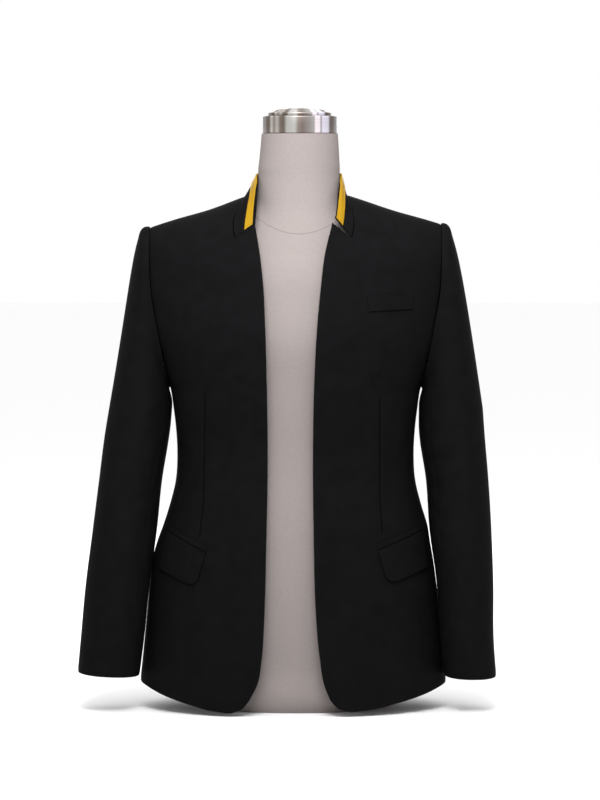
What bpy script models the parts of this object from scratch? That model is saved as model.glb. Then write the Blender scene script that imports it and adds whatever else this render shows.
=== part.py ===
"""Short-collared open blazer worn by a limbless dress form that stands on its own flat bottom.
Metres, +Z up, the front faces -Y and the wearer's left is +X. Every cloth piece is a wall cut and
shaped like its pattern piece, a hair apart from its neighbours at the seams."""
import math
from collections import namedtuple

import bpy
from mathutils import Vector
from mathutils.bvhtree import BVHTree

for old in list(bpy.data.objects):
    bpy.data.objects.remove(old, do_unlink=True)

# ---- driving sizes ----
CLOTH = 0.0020            # wall of the suit cloth
TRIM = 0.0016             # wall of the collar, jets and welt
RIBBON = 0.0008           # wall of the satin ribbon
SEAM_GAP = 0.0003         # gap left between neighbouring pieces
UNDERARM = 0.422          # height of the armhole's lowest point
ROOF_START = 0.582        # above this the body turns in to the shoulder seam
ROOF_LEVELS = 0.080       # how many metres of level the turn takes
ROOF_BEND = 1.10          # 1 is a round shoulder, more is flatter
SHOULDER_TIP_Z = 0.6340
SHOULDER_TIP_X = 0.192
SHOULDER_RISE = 0.326     # height gained per metre toward the neck
SHOULDER_SKEW = 0.012     # the wearer's left shoulder sits this much higher per metre
Hollow = namedtuple("Hollow", "x wide deep")       # where each shoulder line dips
HOLLOWS = (Hollow(-0.112, 0.036, 0.0026), Hollow(0.128, 0.034, 0.0016))
ARMHOLE_SWEEP = math.radians(24.5)
SLEEVE_HEAD_LIFT = math.radians(25)
SLEEVE_TOP_SEAMS = (-120, 135)    # degrees round the sleeve, 0 is outermost and 90 is front
SLEEVE_STEP = 15
ROOF_TOP = ROOF_START + ROOF_LEVELS

Ring = namedtuple("Ring", "z half_width front_depth back_depth roundness centre_x")
BODY = (
    Ring(0.000, 0.2052, 0.1210, 0.1180, 2.25, -0.0034),
    Ring(0.050, 0.2006, 0.1200, 0.1180, 2.25, -0.0030),
    Ring(0.112, 0.1943, 0.1180, 0.1160, 2.25, -0.0031),
    Ring(0.170, 0.1883, 0.1150, 0.1140, 2.25, -0.0031),
    Ring(0.204, 0.1834, 0.1134, 0.1120, 2.25, -0.0033),
    Ring(0.220, 0.1796, 0.1127, 0.1110, 2.25, -0.0023),
    Ring(0.236, 0.1754, 0.1120, 0.1100, 2.25, -0.0005),
    Ring(0.268, 0.1655, 0.1090, 0.1060, 2.25, 0.0000),
    Ring(0.299, 0.1580, 0.1065, 0.1000, 2.25, 0.0000),
    Ring(0.335, 0.1558, 0.1060, 0.0960, 2.25, 0.0000),
    Ring(0.366, 0.1573, 0.1100, 0.0965, 2.28, 0.0000),
    Ring(0.394, 0.1605, 0.1165, 0.0970, 2.30, 0.0000),
    Ring(0.422, 0.1650, 0.1210, 0.0990, 2.30, 0.0000),
    Ring(0.448, 0.1750, 0.1245, 0.1000, 2.30, 0.0000),
    Ring(0.497, 0.1910, 0.1270, 0.1020, 2.30, 0.0000),
    Ring(0.560, 0.2050, 0.1120, 0.1040, 2.30, 0.0000),
    Ring(0.592, 0.2065, 0.1040, 0.1050, 2.30, 0.0000),
    Ring(0.690, 0.2085, 0.0980, 0.1060, 2.30, 0.0000),
)
FORM = (
    Ring(0.000, 0.1240, 0.0780, 0.0760, 2.1, 0.0000),
    Ring(0.007, 0.1310, 0.0840, 0.0820, 2.1, 0.0000),
    Ring(0.060, 0.1420, 0.0900, 0.0900, 2.1, 0.0000),
    Ring(0.150, 0.1500, 0.0940, 0.0950, 2.1, 0.0005),
    Ring(0.236, 0.1480, 0.0920, 0.0910, 2.1, 0.0010),
    Ring(0.325, 0.1340, 0.0880, 0.0790, 2.1, 0.0020),
    Ring(0.422, 0.1440, 0.1000, 0.0830, 2.1, 0.0030),
    Ring(0.497, 0.1570, 0.1085, 0.0860, 2.1, 0.0035),
    Ring(0.540, 0.1640, 0.1000, 0.0860, 2.1, 0.0039),
    Ring(0.560, 0.1670, 0.0935, 0.0850, 2.1, 0.0040),
    Ring(0.580, 0.1692, 0.0845, 0.0810, 2.0, 0.0041),
    Ring(0.600, 0.1710, 0.0740, 0.0750, 1.9, 0.0043),
    Ring(0.620, 0.1710, 0.0625, 0.0680, 1.8, 0.0044),
    Ring(0.632, 0.1690, 0.0545, 0.0600, 1.7, 0.0046),
    Ring(0.640, 0.1630, 0.0480, 0.0540, 1.6, 0.0048),
    Ring(0.650, 0.1320, 0.0390, 0.0450, 1.5, 0.0048),
    Ring(0.660, 0.0940, 0.0290, 0.0350, 1.5, 0.0048),
    Ring(0.668, 0.0625, 0.0200, 0.0250, 1.6, 0.0047),
    Ring(0.678, 0.0400, 0.0100, 0.0150, 2.0, 0.0046),
    Ring(0.700, 0.0100, 0.0050, 0.0050, 2.0, 0.0046),
    Ring(0.7077, 0.0100, 0.0050, 0.0050, 2.0, 0.0046),
    Ring(0.7195, 0.0100, 0.0050, 0.0050, 2.0, 0.0050),
    Ring(0.7353, 0.0100, 0.0050, 0.0050, 2.0, 0.0054),
    Ring(0.7548, 0.0100, 0.0050, 0.0050, 2.0, 0.0056),
)
COLUMN = (                # the neck's own column, blended into the chest and shoulders
    Ring(0.497, 0.0500, 0.0500, 0.0500, 2.0, 0.0), Ring(0.540, 0.0800, 0.0790, 0.0600, 2.0, 0.0),
    Ring(0.560, 0.0880, 0.0860, 0.0620, 2.0, 0.0), Ring(0.580, 0.0880, 0.0860, 0.0600, 2.0, 0.0),
    Ring(0.600, 0.0820, 0.0800, 0.0560, 2.0, 0.0), Ring(0.620, 0.0730, 0.0745, 0.0530, 2.0, 0.0),
    Ring(0.640, 0.0650, 0.0682, 0.0515, 2.0, 0.0), Ring(0.660, 0.0590, 0.0618, 0.0510, 2.0, 0.0),
    Ring(0.678, 0.0558, 0.0575, 0.0510, 2.0, 0.0), Ring(0.690, 0.0542, 0.0552, 0.0510, 2.0, 0.0),
    Ring(0.7015, 0.0534, 0.0536, 0.0508, 2.0, 0.0), Ring(0.7077, 0.0536, 0.0530, 0.0507, 2.0, 0.0),
    Ring(0.7195, 0.0527, 0.0520, 0.0506, 2.0, 0.0), Ring(0.7353, 0.0515, 0.0508, 0.0502, 2.0, 0.0),
    Ring(0.7548, 0.0500, 0.0495, 0.0494, 2.0, 0.0),
)
BLEND = 7                 # how tightly the two meet
Hem = namedtuple("Hem", "angle right left")         # height of the hem round each half
HEM = (
    Hem(12.9, 0.0225, 0.0225), Hem(14.8, 0.0130, 0.0138), Hem(18.0, 0.0066, 0.0080),
    Hem(26.0, 0.0062, 0.0082), Hem(36.8, 0.0125, 0.0135), Hem(51.9, 0.0215, 0.0215),
    Hem(70.0, 0.0312, 0.0300), Hem(90.0, 0.0350, 0.0335), Hem(135.0, 0.0350, 0.0345),
    Hem(180.0, 0.0340, 0.0340),
)
Edge = namedtuple("Edge", "z right left")          # half gap on the wearer's right and left
FRONT_EDGE = (
    Edge(0.0225, 0.0595, 0.0452), Edge(0.040, 0.0505, 0.0380), Edge(0.075, 0.0438, 0.0318),
    Edge(0.118, 0.0408, 0.0275), Edge(0.166, 0.0391, 0.0250), Edge(0.218, 0.0380, 0.0240),
    Edge(0.330, 0.0361, 0.0227), Edge(0.438, 0.0372, 0.0245), Edge(0.512, 0.0392, 0.0285),
    Edge(0.556, 0.0414, 0.0327), Edge(0.600, 0.0461, 0.0382), Edge(0.640, 0.0530, 0.0478),
)
Neck = namedtuple("Neck", "along z right left")    # neckline from the notch to the shoulder seam
NECKLINE = (
    Neck(0.00, 0.6196, 0.0786, 0.0735), Neck(0.25, 0.6310, 0.0813, 0.0757),
    Neck(0.50, 0.6440, 0.0806, 0.0762), Neck(0.75, 0.6580, 0.0748, 0.0735),
    Neck(1.00, 0.6720, 0.0668, 0.0668),
)
PEAK_Z = {-1: 0.6357, 1: 0.6380}                   # top corner of each front
BACK_NECK_Z = 0.6580
BACK_NECK_X = 0.0668
Collar = namedtuple("Collar", "along right left y z")   # top edge, front end to centre back
COLLAR_TOP = (
    Collar(0.00, 0.0522, 0.0515, -0.0765, 0.6375), Collar(0.15, 0.0508, 0.0535, -0.0630, 0.6570),
    Collar(0.32, 0.0501, 0.0563, -0.0400, 0.6815), Collar(0.52, 0.0512, 0.0603, 0.0000, 0.7003),
    Collar(0.75, 0.0385, 0.0475, 0.0420, 0.6995), Collar(1.00, -0.0055, 0.0055, 0.0575, 0.6960),
)
END_LIFT = {-1: 0.0, 1: 0.0080}                    # the left collar end stands up off the notch
NOTCH_OPEN = {-1: 0.008, 1: 0.008}                 # how far up the neckline each collar end starts
Ribbon = namedtuple("Ribbon", "along right_low right_high left_low left_high")
RIBBON_EDGES = (                                   # shares of the collar's height
    Ribbon(0.00, 0.47, 0.86, 0.575, 0.95), Ribbon(0.17, 0.575, 0.875, 0.575, 0.94),
    Ribbon(0.31, 0.65, 0.93, 0.585, 0.94), Ribbon(0.43, 0.69, 1.00, 0.61, 0.99),
    Ribbon(0.52, 0.71, 1.00, 0.60, 1.00), Ribbon(0.75, 0.66, 1.00, 0.62, 1.00),
    Ribbon(1.00, 0.64, 0.99, 0.64, 0.99),
)
Arm = namedtuple("Arm", "z centre_x centre_y half_width half_depth roundness")
SLEEVE = {
    -1: (
        Arm(0.041, 0.2458, -0.046, 0.0406, 0.0490, 2.2), Arm(0.094, 0.2401, -0.041, 0.0416, 0.0520, 2.2),
        Arm(0.165, 0.2333, -0.033, 0.0421, 0.0560, 2.2), Arm(0.236, 0.2243, -0.022, 0.0422, 0.0590, 2.2),
        Arm(0.299, 0.2173, -0.010, 0.0415, 0.0610, 2.2), Arm(0.362, 0.2085, 0.000, 0.0425, 0.0635, 2.2),
        Arm(0.394, 0.2045, 0.003, 0.0413, 0.0650, 2.2),
    ),
    1: (
        Arm(0.041, 0.2296, -0.046, 0.0340, 0.0520, 2.2), Arm(0.094, 0.2249, -0.041, 0.0351, 0.0540, 2.2),
        Arm(0.165, 0.2226, -0.032, 0.0372, 0.0570, 2.2), Arm(0.236, 0.2168, -0.021, 0.0407, 0.0595, 2.2),
        Arm(0.299, 0.2130, -0.009, 0.0411, 0.0610, 2.2), Arm(0.362, 0.2061, 0.000, 0.0430, 0.0635, 2.2),
        Arm(0.394, 0.2050, 0.003, 0.0419, 0.0650, 2.2),
    ),
}
CUFF_LIFT = {-1: 0.0080, 1: 0.0050}                # the cuff's height over the first row above
CUFF_SLANT = {-1: 0.0024, 1: -0.0004}              # its outer side sits this much higher again
HEAD_TRIM = {-1: (-0.0040, 0.0020), 1: (0.0014, 0.0148)}    # how much flatter each sleeve head runs
Patch = namedtuple("Patch", "side x_front z_front x_back z_back x_low_front z_low_front x_low_back z_low_back")
FLAPS = (
    Patch(-1, 0.1163, 0.2111, 0.1670, 0.2360, 0.1290, 0.1660, 0.1765, 0.1870),
    Patch(1, 0.1066, 0.2148, 0.1640, 0.2362, 0.1190, 0.1700, 0.1712, 0.1885),
)
JETS = (
    Patch(-1, 0.1150, 0.2192, 0.1640, 0.2420, 0.1158, 0.2122, 0.1668, 0.2368),
    Patch(1, 0.1052, 0.2225, 0.1610, 0.2430, 0.1060, 0.2155, 0.1630, 0.2372),
)
WELT = Patch(1, 0.0919, 0.5455, 0.1515, 0.5478, 0.0944, 0.5249, 0.1515, 0.5277)
FLAP_ROUND = 0.013        # rounded front corner of a pocket flap
CAP_RING = (0.0494, 0.7551, 0.7778)               # radius, bottom, top
CAP_DOME = (0.0420, 0.7781, 0.7890)
CAP_CENTRE_X = 0.0056


def smooth(rows, field, at):
    """A smooth line through one column of a table whose first column is the place."""
    xs = [row[0] for row in rows]
    ys = [getattr(row, field) for row in rows]
    last = len(xs) - 1
    if at <= xs[0]:
        return ys[0]
    if at >= xs[last]:
        return ys[last]
    i = 0
    while xs[i + 1] < at:
        i += 1

    def lean(k):
        if k == 0:
            return (ys[1] - ys[0]) / (xs[1] - xs[0])
        if k == last:
            return (ys[last] - ys[last - 1]) / (xs[last] - xs[last - 1])
        before = xs[k] - xs[k - 1]
        after = xs[k + 1] - xs[k]
        low = (ys[k] - ys[k - 1]) / before
        high = (ys[k + 1] - ys[k]) / after
        return (low * after + high * before) / (before + after)

    wide = xs[i + 1] - xs[i]
    t = (at - xs[i]) / wide
    return (
        (2 * t ** 3 - 3 * t ** 2 + 1) * ys[i]
        + (t ** 3 - 2 * t ** 2 + t) * wide * lean(i)
        + (3 * t ** 2 - 2 * t ** 3) * ys[i + 1]
        + (t ** 3 - t ** 2) * wide * lean(i + 1)
    )


def mix(a, b, t):
    return a + (b - a) * t


def power(value, exponent):
    return math.copysign(abs(value) ** exponent, value)


def hollow(x):
    """How far the shoulder line dips under a straight one."""
    return sum(dip.deep * math.exp(-((x - dip.x) / dip.wide) ** 2) for dip in HOLLOWS)


def ridge(x):
    """Height of the shoulder line over x."""
    run = math.hypot(x, 0.025)
    tip = math.hypot(SHOULDER_TIP_X, 0.025)
    return SHOULDER_TIP_Z + SHOULDER_RISE * (tip - run) + SHOULDER_SKEW * x - hollow(x)


def ring_point(rows, angle, z):
    """A point of the ring at z. The angle is 0 at centre front and grows toward +X."""
    n = smooth(rows, "roundness", z)
    depth = smooth(rows, "front_depth" if math.cos(angle) > 0 else "back_depth", z)
    x = smooth(rows, "half_width", z) * power(math.sin(angle), 2 / n)
    return smooth(rows, "centre_x", z) + x, -depth * power(math.cos(angle), 2 / n)


def reach_of(rows, angle, z):
    """How far a ring reaches from its centre toward an angle."""
    n = smooth(rows, "roundness", z)
    depth = smooth(rows, "front_depth" if math.cos(angle) > 0 else "back_depth", z)
    wide = smooth(rows, "half_width", z)
    return ((abs(math.cos(angle)) / depth) ** n + (abs(math.sin(angle)) / wide) ** n) ** (-1 / n)


def form_point(angle, z):
    """A point of the form, its neck column and torso blended. The shoulder dips lower it."""
    reach = reach_of(FORM, angle, z)
    if z > COLUMN[0].z:
        reach = (reach ** BLEND + reach_of(COLUMN, angle, z) ** BLEND) ** (1 / BLEND)
    x = smooth(FORM, "centre_x", z) + reach * math.sin(angle)
    return x, -reach * math.cos(angle), z - hollow(x) * min(1.0, max(0.0, (z - 0.56) / 0.06))


def body(angle, level):
    """A point of the jacket's outer face. Above ROOF_START the level turns in over the shoulder."""
    if level <= ROOF_START:
        x, y = ring_point(BODY, angle, level)
        return Vector((x, y, level))
    turn = min(1.0, (level - ROOF_START) / ROOF_LEVELS) * math.pi / 2
    x = ring_point(BODY, angle, ROOF_START)[0]
    z = ROOF_START
    for _ in range(3):
        z = ROOF_START + (ridge(x) - ROOF_START) * math.sin(turn) ** ROOF_BEND
        x = ring_point(BODY, angle, z)[0]
    y = ring_point(BODY, angle, z)[1]
    return Vector((x, y * max(0.0, math.cos(turn)) ** ROOF_BEND, z))


def body_normal(angle, level):
    e = 0.0005
    level = min(level, ROOF_TOP - e)
    across = body(angle + 0.002, level) - body(angle - 0.002, level)
    up = body(angle, level + e) - body(angle, level - e)
    return across.cross(up).normalized()


def angle_of(x, z):
    """The ring angle in front whose x is x at z."""
    share = (x - smooth(BODY, "centre_x", z)) / smooth(BODY, "half_width", z)
    return math.asin(max(-1.0, min(1.0, power(share, smooth(BODY, "roundness", z) / 2))))


def level_of(x, z):
    """The level whose height over x is z."""
    if z <= ROOF_START:
        return z
    share = min(1.0, (z - ROOF_START) / (ridge(x) - ROOF_START))
    return ROOF_START + ROOF_LEVELS * math.asin(share ** (1 / ROOF_BEND)) * 2 / math.pi


def armhole_level(theta):
    """Level on the armhole, theta in radians from the shoulder tip (0) to the underarm (pi)."""
    return UNDERARM + (ROOF_TOP - UNDERARM) * (1 + math.cos(theta)) / 2


def armhole_angle(level):
    """How far the armhole stands from the side line at a level."""
    share = max(0.0, (level - UNDERARM) / (ROOF_TOP - UNDERARM))
    return ARMHOLE_SWEEP * math.sqrt(max(0.0, 1 - (1 - share) ** 4))


def armhole(side, theta):
    """(angle, level) of the armhole point. theta 0 is the shoulder tip, pi/2 front, pi underarm."""
    level = armhole_level(theta)
    sweep = armhole_angle(level)
    front = math.sin(theta) >= 0
    return side * (math.pi / 2 - sweep if front else math.pi / 2 + sweep), level


def material(name, colour, roughness, metallic=0.0):
    made = bpy.data.materials.new(name)
    made.use_nodes = True
    shader = made.node_tree.nodes["Principled BSDF"]
    shader.inputs["Base Color"].default_value = (*colour, 1.0)
    shader.inputs["Roughness"].default_value = roughness
    shader.inputs["Metallic"].default_value = metallic
    return made


SUITING = (0.0120, 0.0122, 0.0140)


def build(name, points, faces, mat):
    mesh = bpy.data.meshes.new(name)
    mesh.from_pydata([tuple(p) for p in points], [], faces)
    mesh.validate()
    obj = bpy.data.objects.new(name, mesh)
    bpy.context.scene.collection.objects.link(obj)
    mesh.materials.append(mat)
    return obj


def wall(name, outer, inner, colour, roughness, keep=None, flip=False):
    """A closed wall between two grids of points. keep(i, j) says whether a cell is cloth."""
    columns = len(outer)
    rows = len(outer[0])
    points = []
    index = {}

    def vertex(layer, i, j):
        key = (layer, i, j)
        if key not in index:
            index[key] = len(points)
            points.append((outer if layer == 0 else inner)[i][j])
        return index[key]

    cells = {(i, j) for i in range(columns - 1) for j in range(rows - 1) if keep is None or keep(i, j)}
    faces = []
    for i, j in sorted(cells):
        corners = ((i, j), (i + 1, j), (i + 1, j + 1), (i, j + 1))
        for a, b, c in ((0, 1, 2), (0, 2, 3)):
            faces.append([vertex(0, *corners[k]) for k in (a, b, c)])
            faces.append([vertex(1, *corners[k]) for k in (c, b, a)])
        beside = ((i, j - 1), (i + 1, j), (i, j + 1), (i - 1, j))
        for k in range(4):
            if beside[k] in cells:
                continue
            a = corners[k]
            b = corners[(k + 1) % 4]
            faces.append([vertex(0, *b), vertex(0, *a), vertex(1, *a), vertex(1, *b)])
    if flip:
        faces = [face[::-1] for face in faces]
    return build(name, points, faces, material(name, colour, roughness))


def offset(places, thickness):
    """Outer and inner grids of body points from (angle, level) places."""
    outer = [[body(*p) for p in column] for column in places]
    inner = [[body(*p) - body_normal(*p) * thickness for p in column] for column in places]
    return outer, inner


# ---- fronts ----
SIDE_ROWS = 14
EDGE_COLUMNS = 3
FRONT_COLUMNS = 12
BACK_COLUMNS = 9
HEM_CROWD = 1.55          # columns stand closer at the rounded front corner
ROW_CROWD = 1.25          # rows stand closer at the hem
THETAS = [math.radians(180 - SLEEVE_STEP * k) for k in range(180 // SLEEVE_STEP + 1)]
NOTCH_ROW = 7
SIDE_TRIM = 0.0011
RIDGE_TRIM = ROOF_LEVELS * 0.0046
WIDTH = {-1: "right", 1: "left"}


def side_angle(level):
    return math.pi / 2 - max(SIDE_TRIM, armhole_angle(level))


def neck_place(side, along):
    z = smooth(NECKLINE, "z", along)
    x = smooth(NECKLINE, WIDTH[side], along)
    if along >= 0.999:
        return abs(angle_of(side * x, ridge(side * x))), ROOF_TOP - RIDGE_TRIM
    return abs(angle_of(side * x, z)), level_of(side * x, z)


def lap_angle(side, level):
    """Ring angle of the front edge at a level."""
    z = level
    angle = abs(angle_of(side * smooth(FRONT_EDGE, WIDTH[side], z), z))
    if level > ROOF_START:
        z = body(side * angle, level).z
        angle = abs(angle_of(side * smooth(FRONT_EDGE, WIDTH[side], z), z))
    return angle


def front(side):
    """(angle, level) grid of a front, columns from the front edge to the side."""
    edge_angle = math.degrees(lap_angle(side, HEM[0].right))
    notch_angle, notch_level = neck_place(side, 0.0)
    edge = WIDTH[side]
    peak_x = smooth(FRONT_EDGE, edge, PEAK_Z[side])
    peak_level = level_of(side * peak_x, PEAK_Z[side])
    waist_rows = SIDE_ROWS
    top_rows = len(THETAS) - 1
    arm_notch = armhole_level(THETAS[NOTCH_ROW])
    grid = []
    for i in range(FRONT_COLUMNS + 1):
        column = []
        in_edge = i <= EDGE_COLUMNS
        share = i / EDGE_COLUMNS if in_edge else (i - EDGE_COLUMNS) / (FRONT_COLUMNS - EDGE_COLUMNS)
        across = mix(0, 0.24, share) if in_edge else mix(0.24, 1, share)
        crowd = (i / FRONT_COLUMNS) ** HEM_CROWD
        hem_angle = mix(edge_angle, 90.0, crowd)
        low = smooth(HEM, WIDTH[side], mix(HEM[0].angle, 90.0, crowd))
        if in_edge:
            top = mix(peak_level, notch_level, share)
        else:
            top = mix(notch_level, arm_notch, share)
        for j in range(waist_rows + top_rows + 1):
            if j <= waist_rows:
                level = mix(low, UNDERARM, (j / waist_rows) ** ROW_CROWD)
            elif j <= waist_rows + NOTCH_ROW:
                reach = (armhole_level(THETAS[j - waist_rows]) - UNDERARM) / (arm_notch - UNDERARM)
                level = mix(UNDERARM, top, reach)
            else:
                reach = (armhole_level(THETAS[j - waist_rows]) - arm_notch) / (ROOF_TOP - arm_notch)
                level = mix(top, ROOF_TOP - RIDGE_TRIM, reach)
            flank = side_angle(armhole_level(THETAS[j - waist_rows]) if j > waist_rows else level)
            lap = lap_angle(side, level)
            if j <= waist_rows + NOTCH_ROW:
                rise = max(0.0, (j - waist_rows) / NOTCH_ROW)
                notch_share = (notch_angle - lap) / (flank - lap)
                middle = mix(lap, flank, mix(0.24, notch_share, rise ** 2))
                if j == waist_rows + NOTCH_ROW:
                    middle = notch_angle
            else:
                middle = neck_place(side, reach)[0]
                if not in_edge or i == EDGE_COLUMNS:
                    neck_level = neck_place(side, reach)[1]
                    arm_level = armhole_level(THETAS[j - waist_rows])
                    level = mix(neck_level, min(arm_level, ROOF_TOP - RIDGE_TRIM), 0 if in_edge else share)
            angle = mix(lap, middle, share) if in_edge else mix(middle, flank, share)
            if j == 0:
                angle = math.radians(hem_angle) if i < FRONT_COLUMNS else math.pi / 2 - SIDE_TRIM
            elif j < 5 and i > 0:
                blend = (j / 5) ** 2 * (3 - 2 * j / 5)
                angle = mix(math.radians(hem_angle), angle, blend)
            column.append((side * angle, level))
        grid.append(column)
    return grid


def front_keep(i, j):
    return not (i < EDGE_COLUMNS and j >= SIDE_ROWS + NOTCH_ROW)


FRONTS = {side: front(side) for side in (-1, 1)}
for side, name in ((-1, "front_right"), (1, "front_left")):
    outer, inner = offset(FRONTS[side], CLOTH)
    wall(name, outer, inner, SUITING, 0.85, front_keep, flip=side < 0)


# ---- backs ----
NECK_COLUMNS = 3
CENTRE_TRIM = 0.0009


def back(side):
    """(angle, level) grid of a back, columns from the centre seam to the side."""
    grid = []
    neck_share = NECK_COLUMNS / BACK_COLUMNS
    for i in range(BACK_COLUMNS + 1):
        across = i / BACK_COLUMNS
        column = []
        low = smooth(HEM, WIDTH[side], mix(180.0, 90.0, across))
        for j in range(SIDE_ROWS + len(THETAS)):
            if j <= SIDE_ROWS:
                level = mix(low, UNDERARM, (j / SIDE_ROWS) ** ROW_CROWD)
                flank = math.pi / 2 + SIDE_TRIM
            else:
                level = armhole_level(THETAS[j - SIDE_ROWS])
                flank = math.pi / 2 + max(SIDE_TRIM, armhole_angle(level))
            neck = math.pi - abs(angle_of(side * BACK_NECK_X, ridge(side * BACK_NECK_X)))
            centre = math.pi - CENTRE_TRIM
            rise = max(0.0, (j - SIDE_ROWS) / (len(THETAS) - 1))
            middle = mix(mix(centre, flank, neck_share), neck, rise ** 2)
            top = ROOF_TOP - RIDGE_TRIM
            if i < NECK_COLUMNS:
                share = 1 - (1 - i / NECK_COLUMNS) ** 1.7
                x = BACK_NECK_X * share
                z = mix(BACK_NECK_Z, ridge(side * BACK_NECK_X), share ** 6)
                top = min(top, level_of(side * x, z))
                angle = mix(centre, middle, share)
            else:
                angle = mix(middle, flank, (i - NECK_COLUMNS) / (BACK_COLUMNS - NECK_COLUMNS))
            if j > SIDE_ROWS:
                reach = (level - UNDERARM) / (ROOF_TOP - UNDERARM)
                level = min(level, ROOF_TOP - RIDGE_TRIM) - (ROOF_TOP - RIDGE_TRIM - top) * reach ** 6
            column.append((side * angle, level))
        grid.append(column)
    return grid


BACKS = {side: back(side) for side in (-1, 1)}
for side, name in ((-1, "back_right"), (1, "back_left")):
    outer, inner = offset(BACKS[side], CLOTH)
    wall(name, outer, inner, SUITING, 0.85, None, flip=side > 0)


# ---- sleeves ----
CAP_ROWS = 8
ARM_ROWS = 9
SLEEVE_TRIM = 0.0042


def sleeve_ring(side, theta, z):
    rows = SLEEVE[side]
    n = smooth(rows, "roundness", z)
    x = smooth(rows, "centre_x", z) + smooth(rows, "half_width", z) * power(math.cos(theta), 2 / n)
    y = smooth(rows, "centre_y", z) - smooth(rows, "half_depth", z) * power(math.sin(theta), 2 / n)
    return Vector((side * x, y, z))


def armhole_frame(side, theta):
    """The armhole point, the body's outward normal there, and the way into the hole."""
    place = armhole(side, theta)
    point = body(*place)
    normal = body_normal(*place)
    before = body(*armhole(side, theta - 0.02))
    after = body(*armhole(side, theta + 0.02))
    into = (after - before).cross(normal).normalized()
    centre = Vector((side * 0.178, 0.0, 0.530))
    if into.dot(centre - point) < 0:
        into = -into
    return point, normal, into


def sleeve_column(side, theta):
    """Points down the sleeve at one place round it, and the inward direction at its armhole end."""
    point, normal, into = armhole_frame(side, theta)
    leave = SLEEVE_HEAD_LIFT + math.radians(42) * (1 - math.cos(theta))
    out = into * math.cos(leave) + normal * math.sin(leave)
    inward = into * math.sin(leave) - normal * math.cos(leave)
    start = point + (into * math.cos(leave / 2) + normal * math.sin(leave / 2)) * SEAM_GAP * 1.2
    full = sleeve_ring(side, theta, SLEEVE[side][-1].z)
    below = sleeve_ring(side, theta, SLEEVE[side][-2].z)
    reach = mix(0.006, 0.018, math.sqrt(max(0.0, (1 + math.cos(theta)) / 2)))
    first = start + out * reach
    second = full + (full - below).normalized() * 0.8 * max(0.012, first.z - full.z)
    outward = side * max(0.0, math.cos(theta))
    first.x -= outward * HEAD_TRIM[side][0]
    second.x -= outward * HEAD_TRIM[side][1]
    column = []
    for j in range(CAP_ROWS):
        t = j / CAP_ROWS
        t = mix(t, t * t, 0.35)
        column.append(
            start * (1 - t) ** 3 + first * 3 * t * (1 - t) ** 2
            + second * 3 * t * t * (1 - t) + full * t ** 3
        )
    top = SLEEVE[side][-1].z
    cuff = SLEEVE[side][0].z + CUFF_LIFT[side] + CUFF_SLANT[side] * math.cos(theta)
    for j in range(ARM_ROWS + 1):
        column.append(sleeve_ring(side, theta, mix(top, cuff, j / ARM_ROWS)))
    return column, inward


def sleeve_wall(side, thetas):
    """Outer and inner grids of a sleeve piece, columns round the arm and rows down it."""
    outer = []
    inner = []
    for theta in thetas:
        column, inward = sleeve_column(side, theta)
        before = sleeve_column(side, theta - 0.03)[0]
        after = sleeve_column(side, theta + 0.03)[0]
        inside = []
        for j, point in enumerate(column):
            if j == 0:
                inside.append(point + inward * CLOTH)
                continue
            down = column[min(j + 1, len(column) - 1)] - column[j - 1]
            normal = down.cross(after[j] - before[j]).normalized() * side
            inside.append(point + normal * CLOTH)
        outer.append(column)
        inner.append(inside)
    return outer, inner


low, high = SLEEVE_TOP_SEAMS
TOP_SLEEVE = [math.radians(a) for a in range(low, high + 1, SLEEVE_STEP)]
UNDER_SLEEVE = [math.radians(a) for a in range(high, low + 361, SLEEVE_STEP)]
for side, name in ((-1, "right"), (1, "left")):
    for piece, thetas in (("sleeve_top_", TOP_SLEEVE), ("sleeve_under_", UNDER_SLEEVE)):
        trimmed = list(thetas)
        trimmed[0] += SLEEVE_TRIM
        trimmed[-1] -= SLEEVE_TRIM
        outer, inner = sleeve_wall(side, trimmed)
        wall(piece + name, outer, inner, SUITING, 0.85, None, flip=side < 0)


# ---- form ----
def lathe(name, rings, colour, roughness, metallic=0.0, steps=40):
    """A closed solid through rings of points, flat at both ends."""
    points = [p for ring in rings for p in ring]
    faces = [list(range(steps))[::-1]]
    for r in range(len(rings) - 1):
        for k in range(steps):
            n = (k + 1) % steps
            faces.append([r * steps + k, r * steps + n, (r + 1) * steps + n, (r + 1) * steps + k])
    faces.append([(len(rings) - 1) * steps + k for k in range(steps)])
    return build(name, points, faces, material(name, colour, roughness, metallic))


FORM_STEPS = 40
FORM_LEVELS = (
    0.0, 0.007, 0.025, 0.060, 0.105, 0.150, 0.193, 0.236, 0.280, 0.325, 0.372, 0.422, 0.460, 0.497,
    0.530, 0.560, 0.580, 0.597, 0.610, 0.621, 0.630, 0.636, 0.641, 0.646, 0.652, 0.660, 0.668,
    0.673, 0.678, 0.684, 0.690, 0.7015, 0.7077, 0.7195, 0.7353, 0.7548,
)
form_rings = [[form_point(2 * math.pi * k / FORM_STEPS, z) for k in range(FORM_STEPS)] for z in FORM_LEVELS]
lathe("form_body", form_rings, (0.53, 0.46, 0.435), 0.9, steps=FORM_STEPS)


def disc(name, rows):
    """A round solid from (radius, z) rows."""
    steps = 48
    rings = [
        [(CAP_CENTRE_X + r * math.cos(2 * math.pi * k / steps), r * math.sin(2 * math.pi * k / steps), z)
         for k in range(steps)]
        for r, z in rows
    ]
    lathe(name, rings, (0.56, 0.56, 0.57), 0.28, 1.0, steps=steps)


radius, bottom, top = CAP_RING
disc("form_cap_ring", ((radius - 0.0008, bottom), (radius, bottom + 0.001), (radius, top - 0.0025),
                       (radius - 0.0014, top)))
radius, bottom, top = CAP_DOME
disc("form_cap_dome", ((radius, bottom), (radius, bottom + 0.003), (radius - 0.006, top - 0.0025),
                       (radius - 0.020, top - 0.0004), (radius - 0.028, top)))


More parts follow.
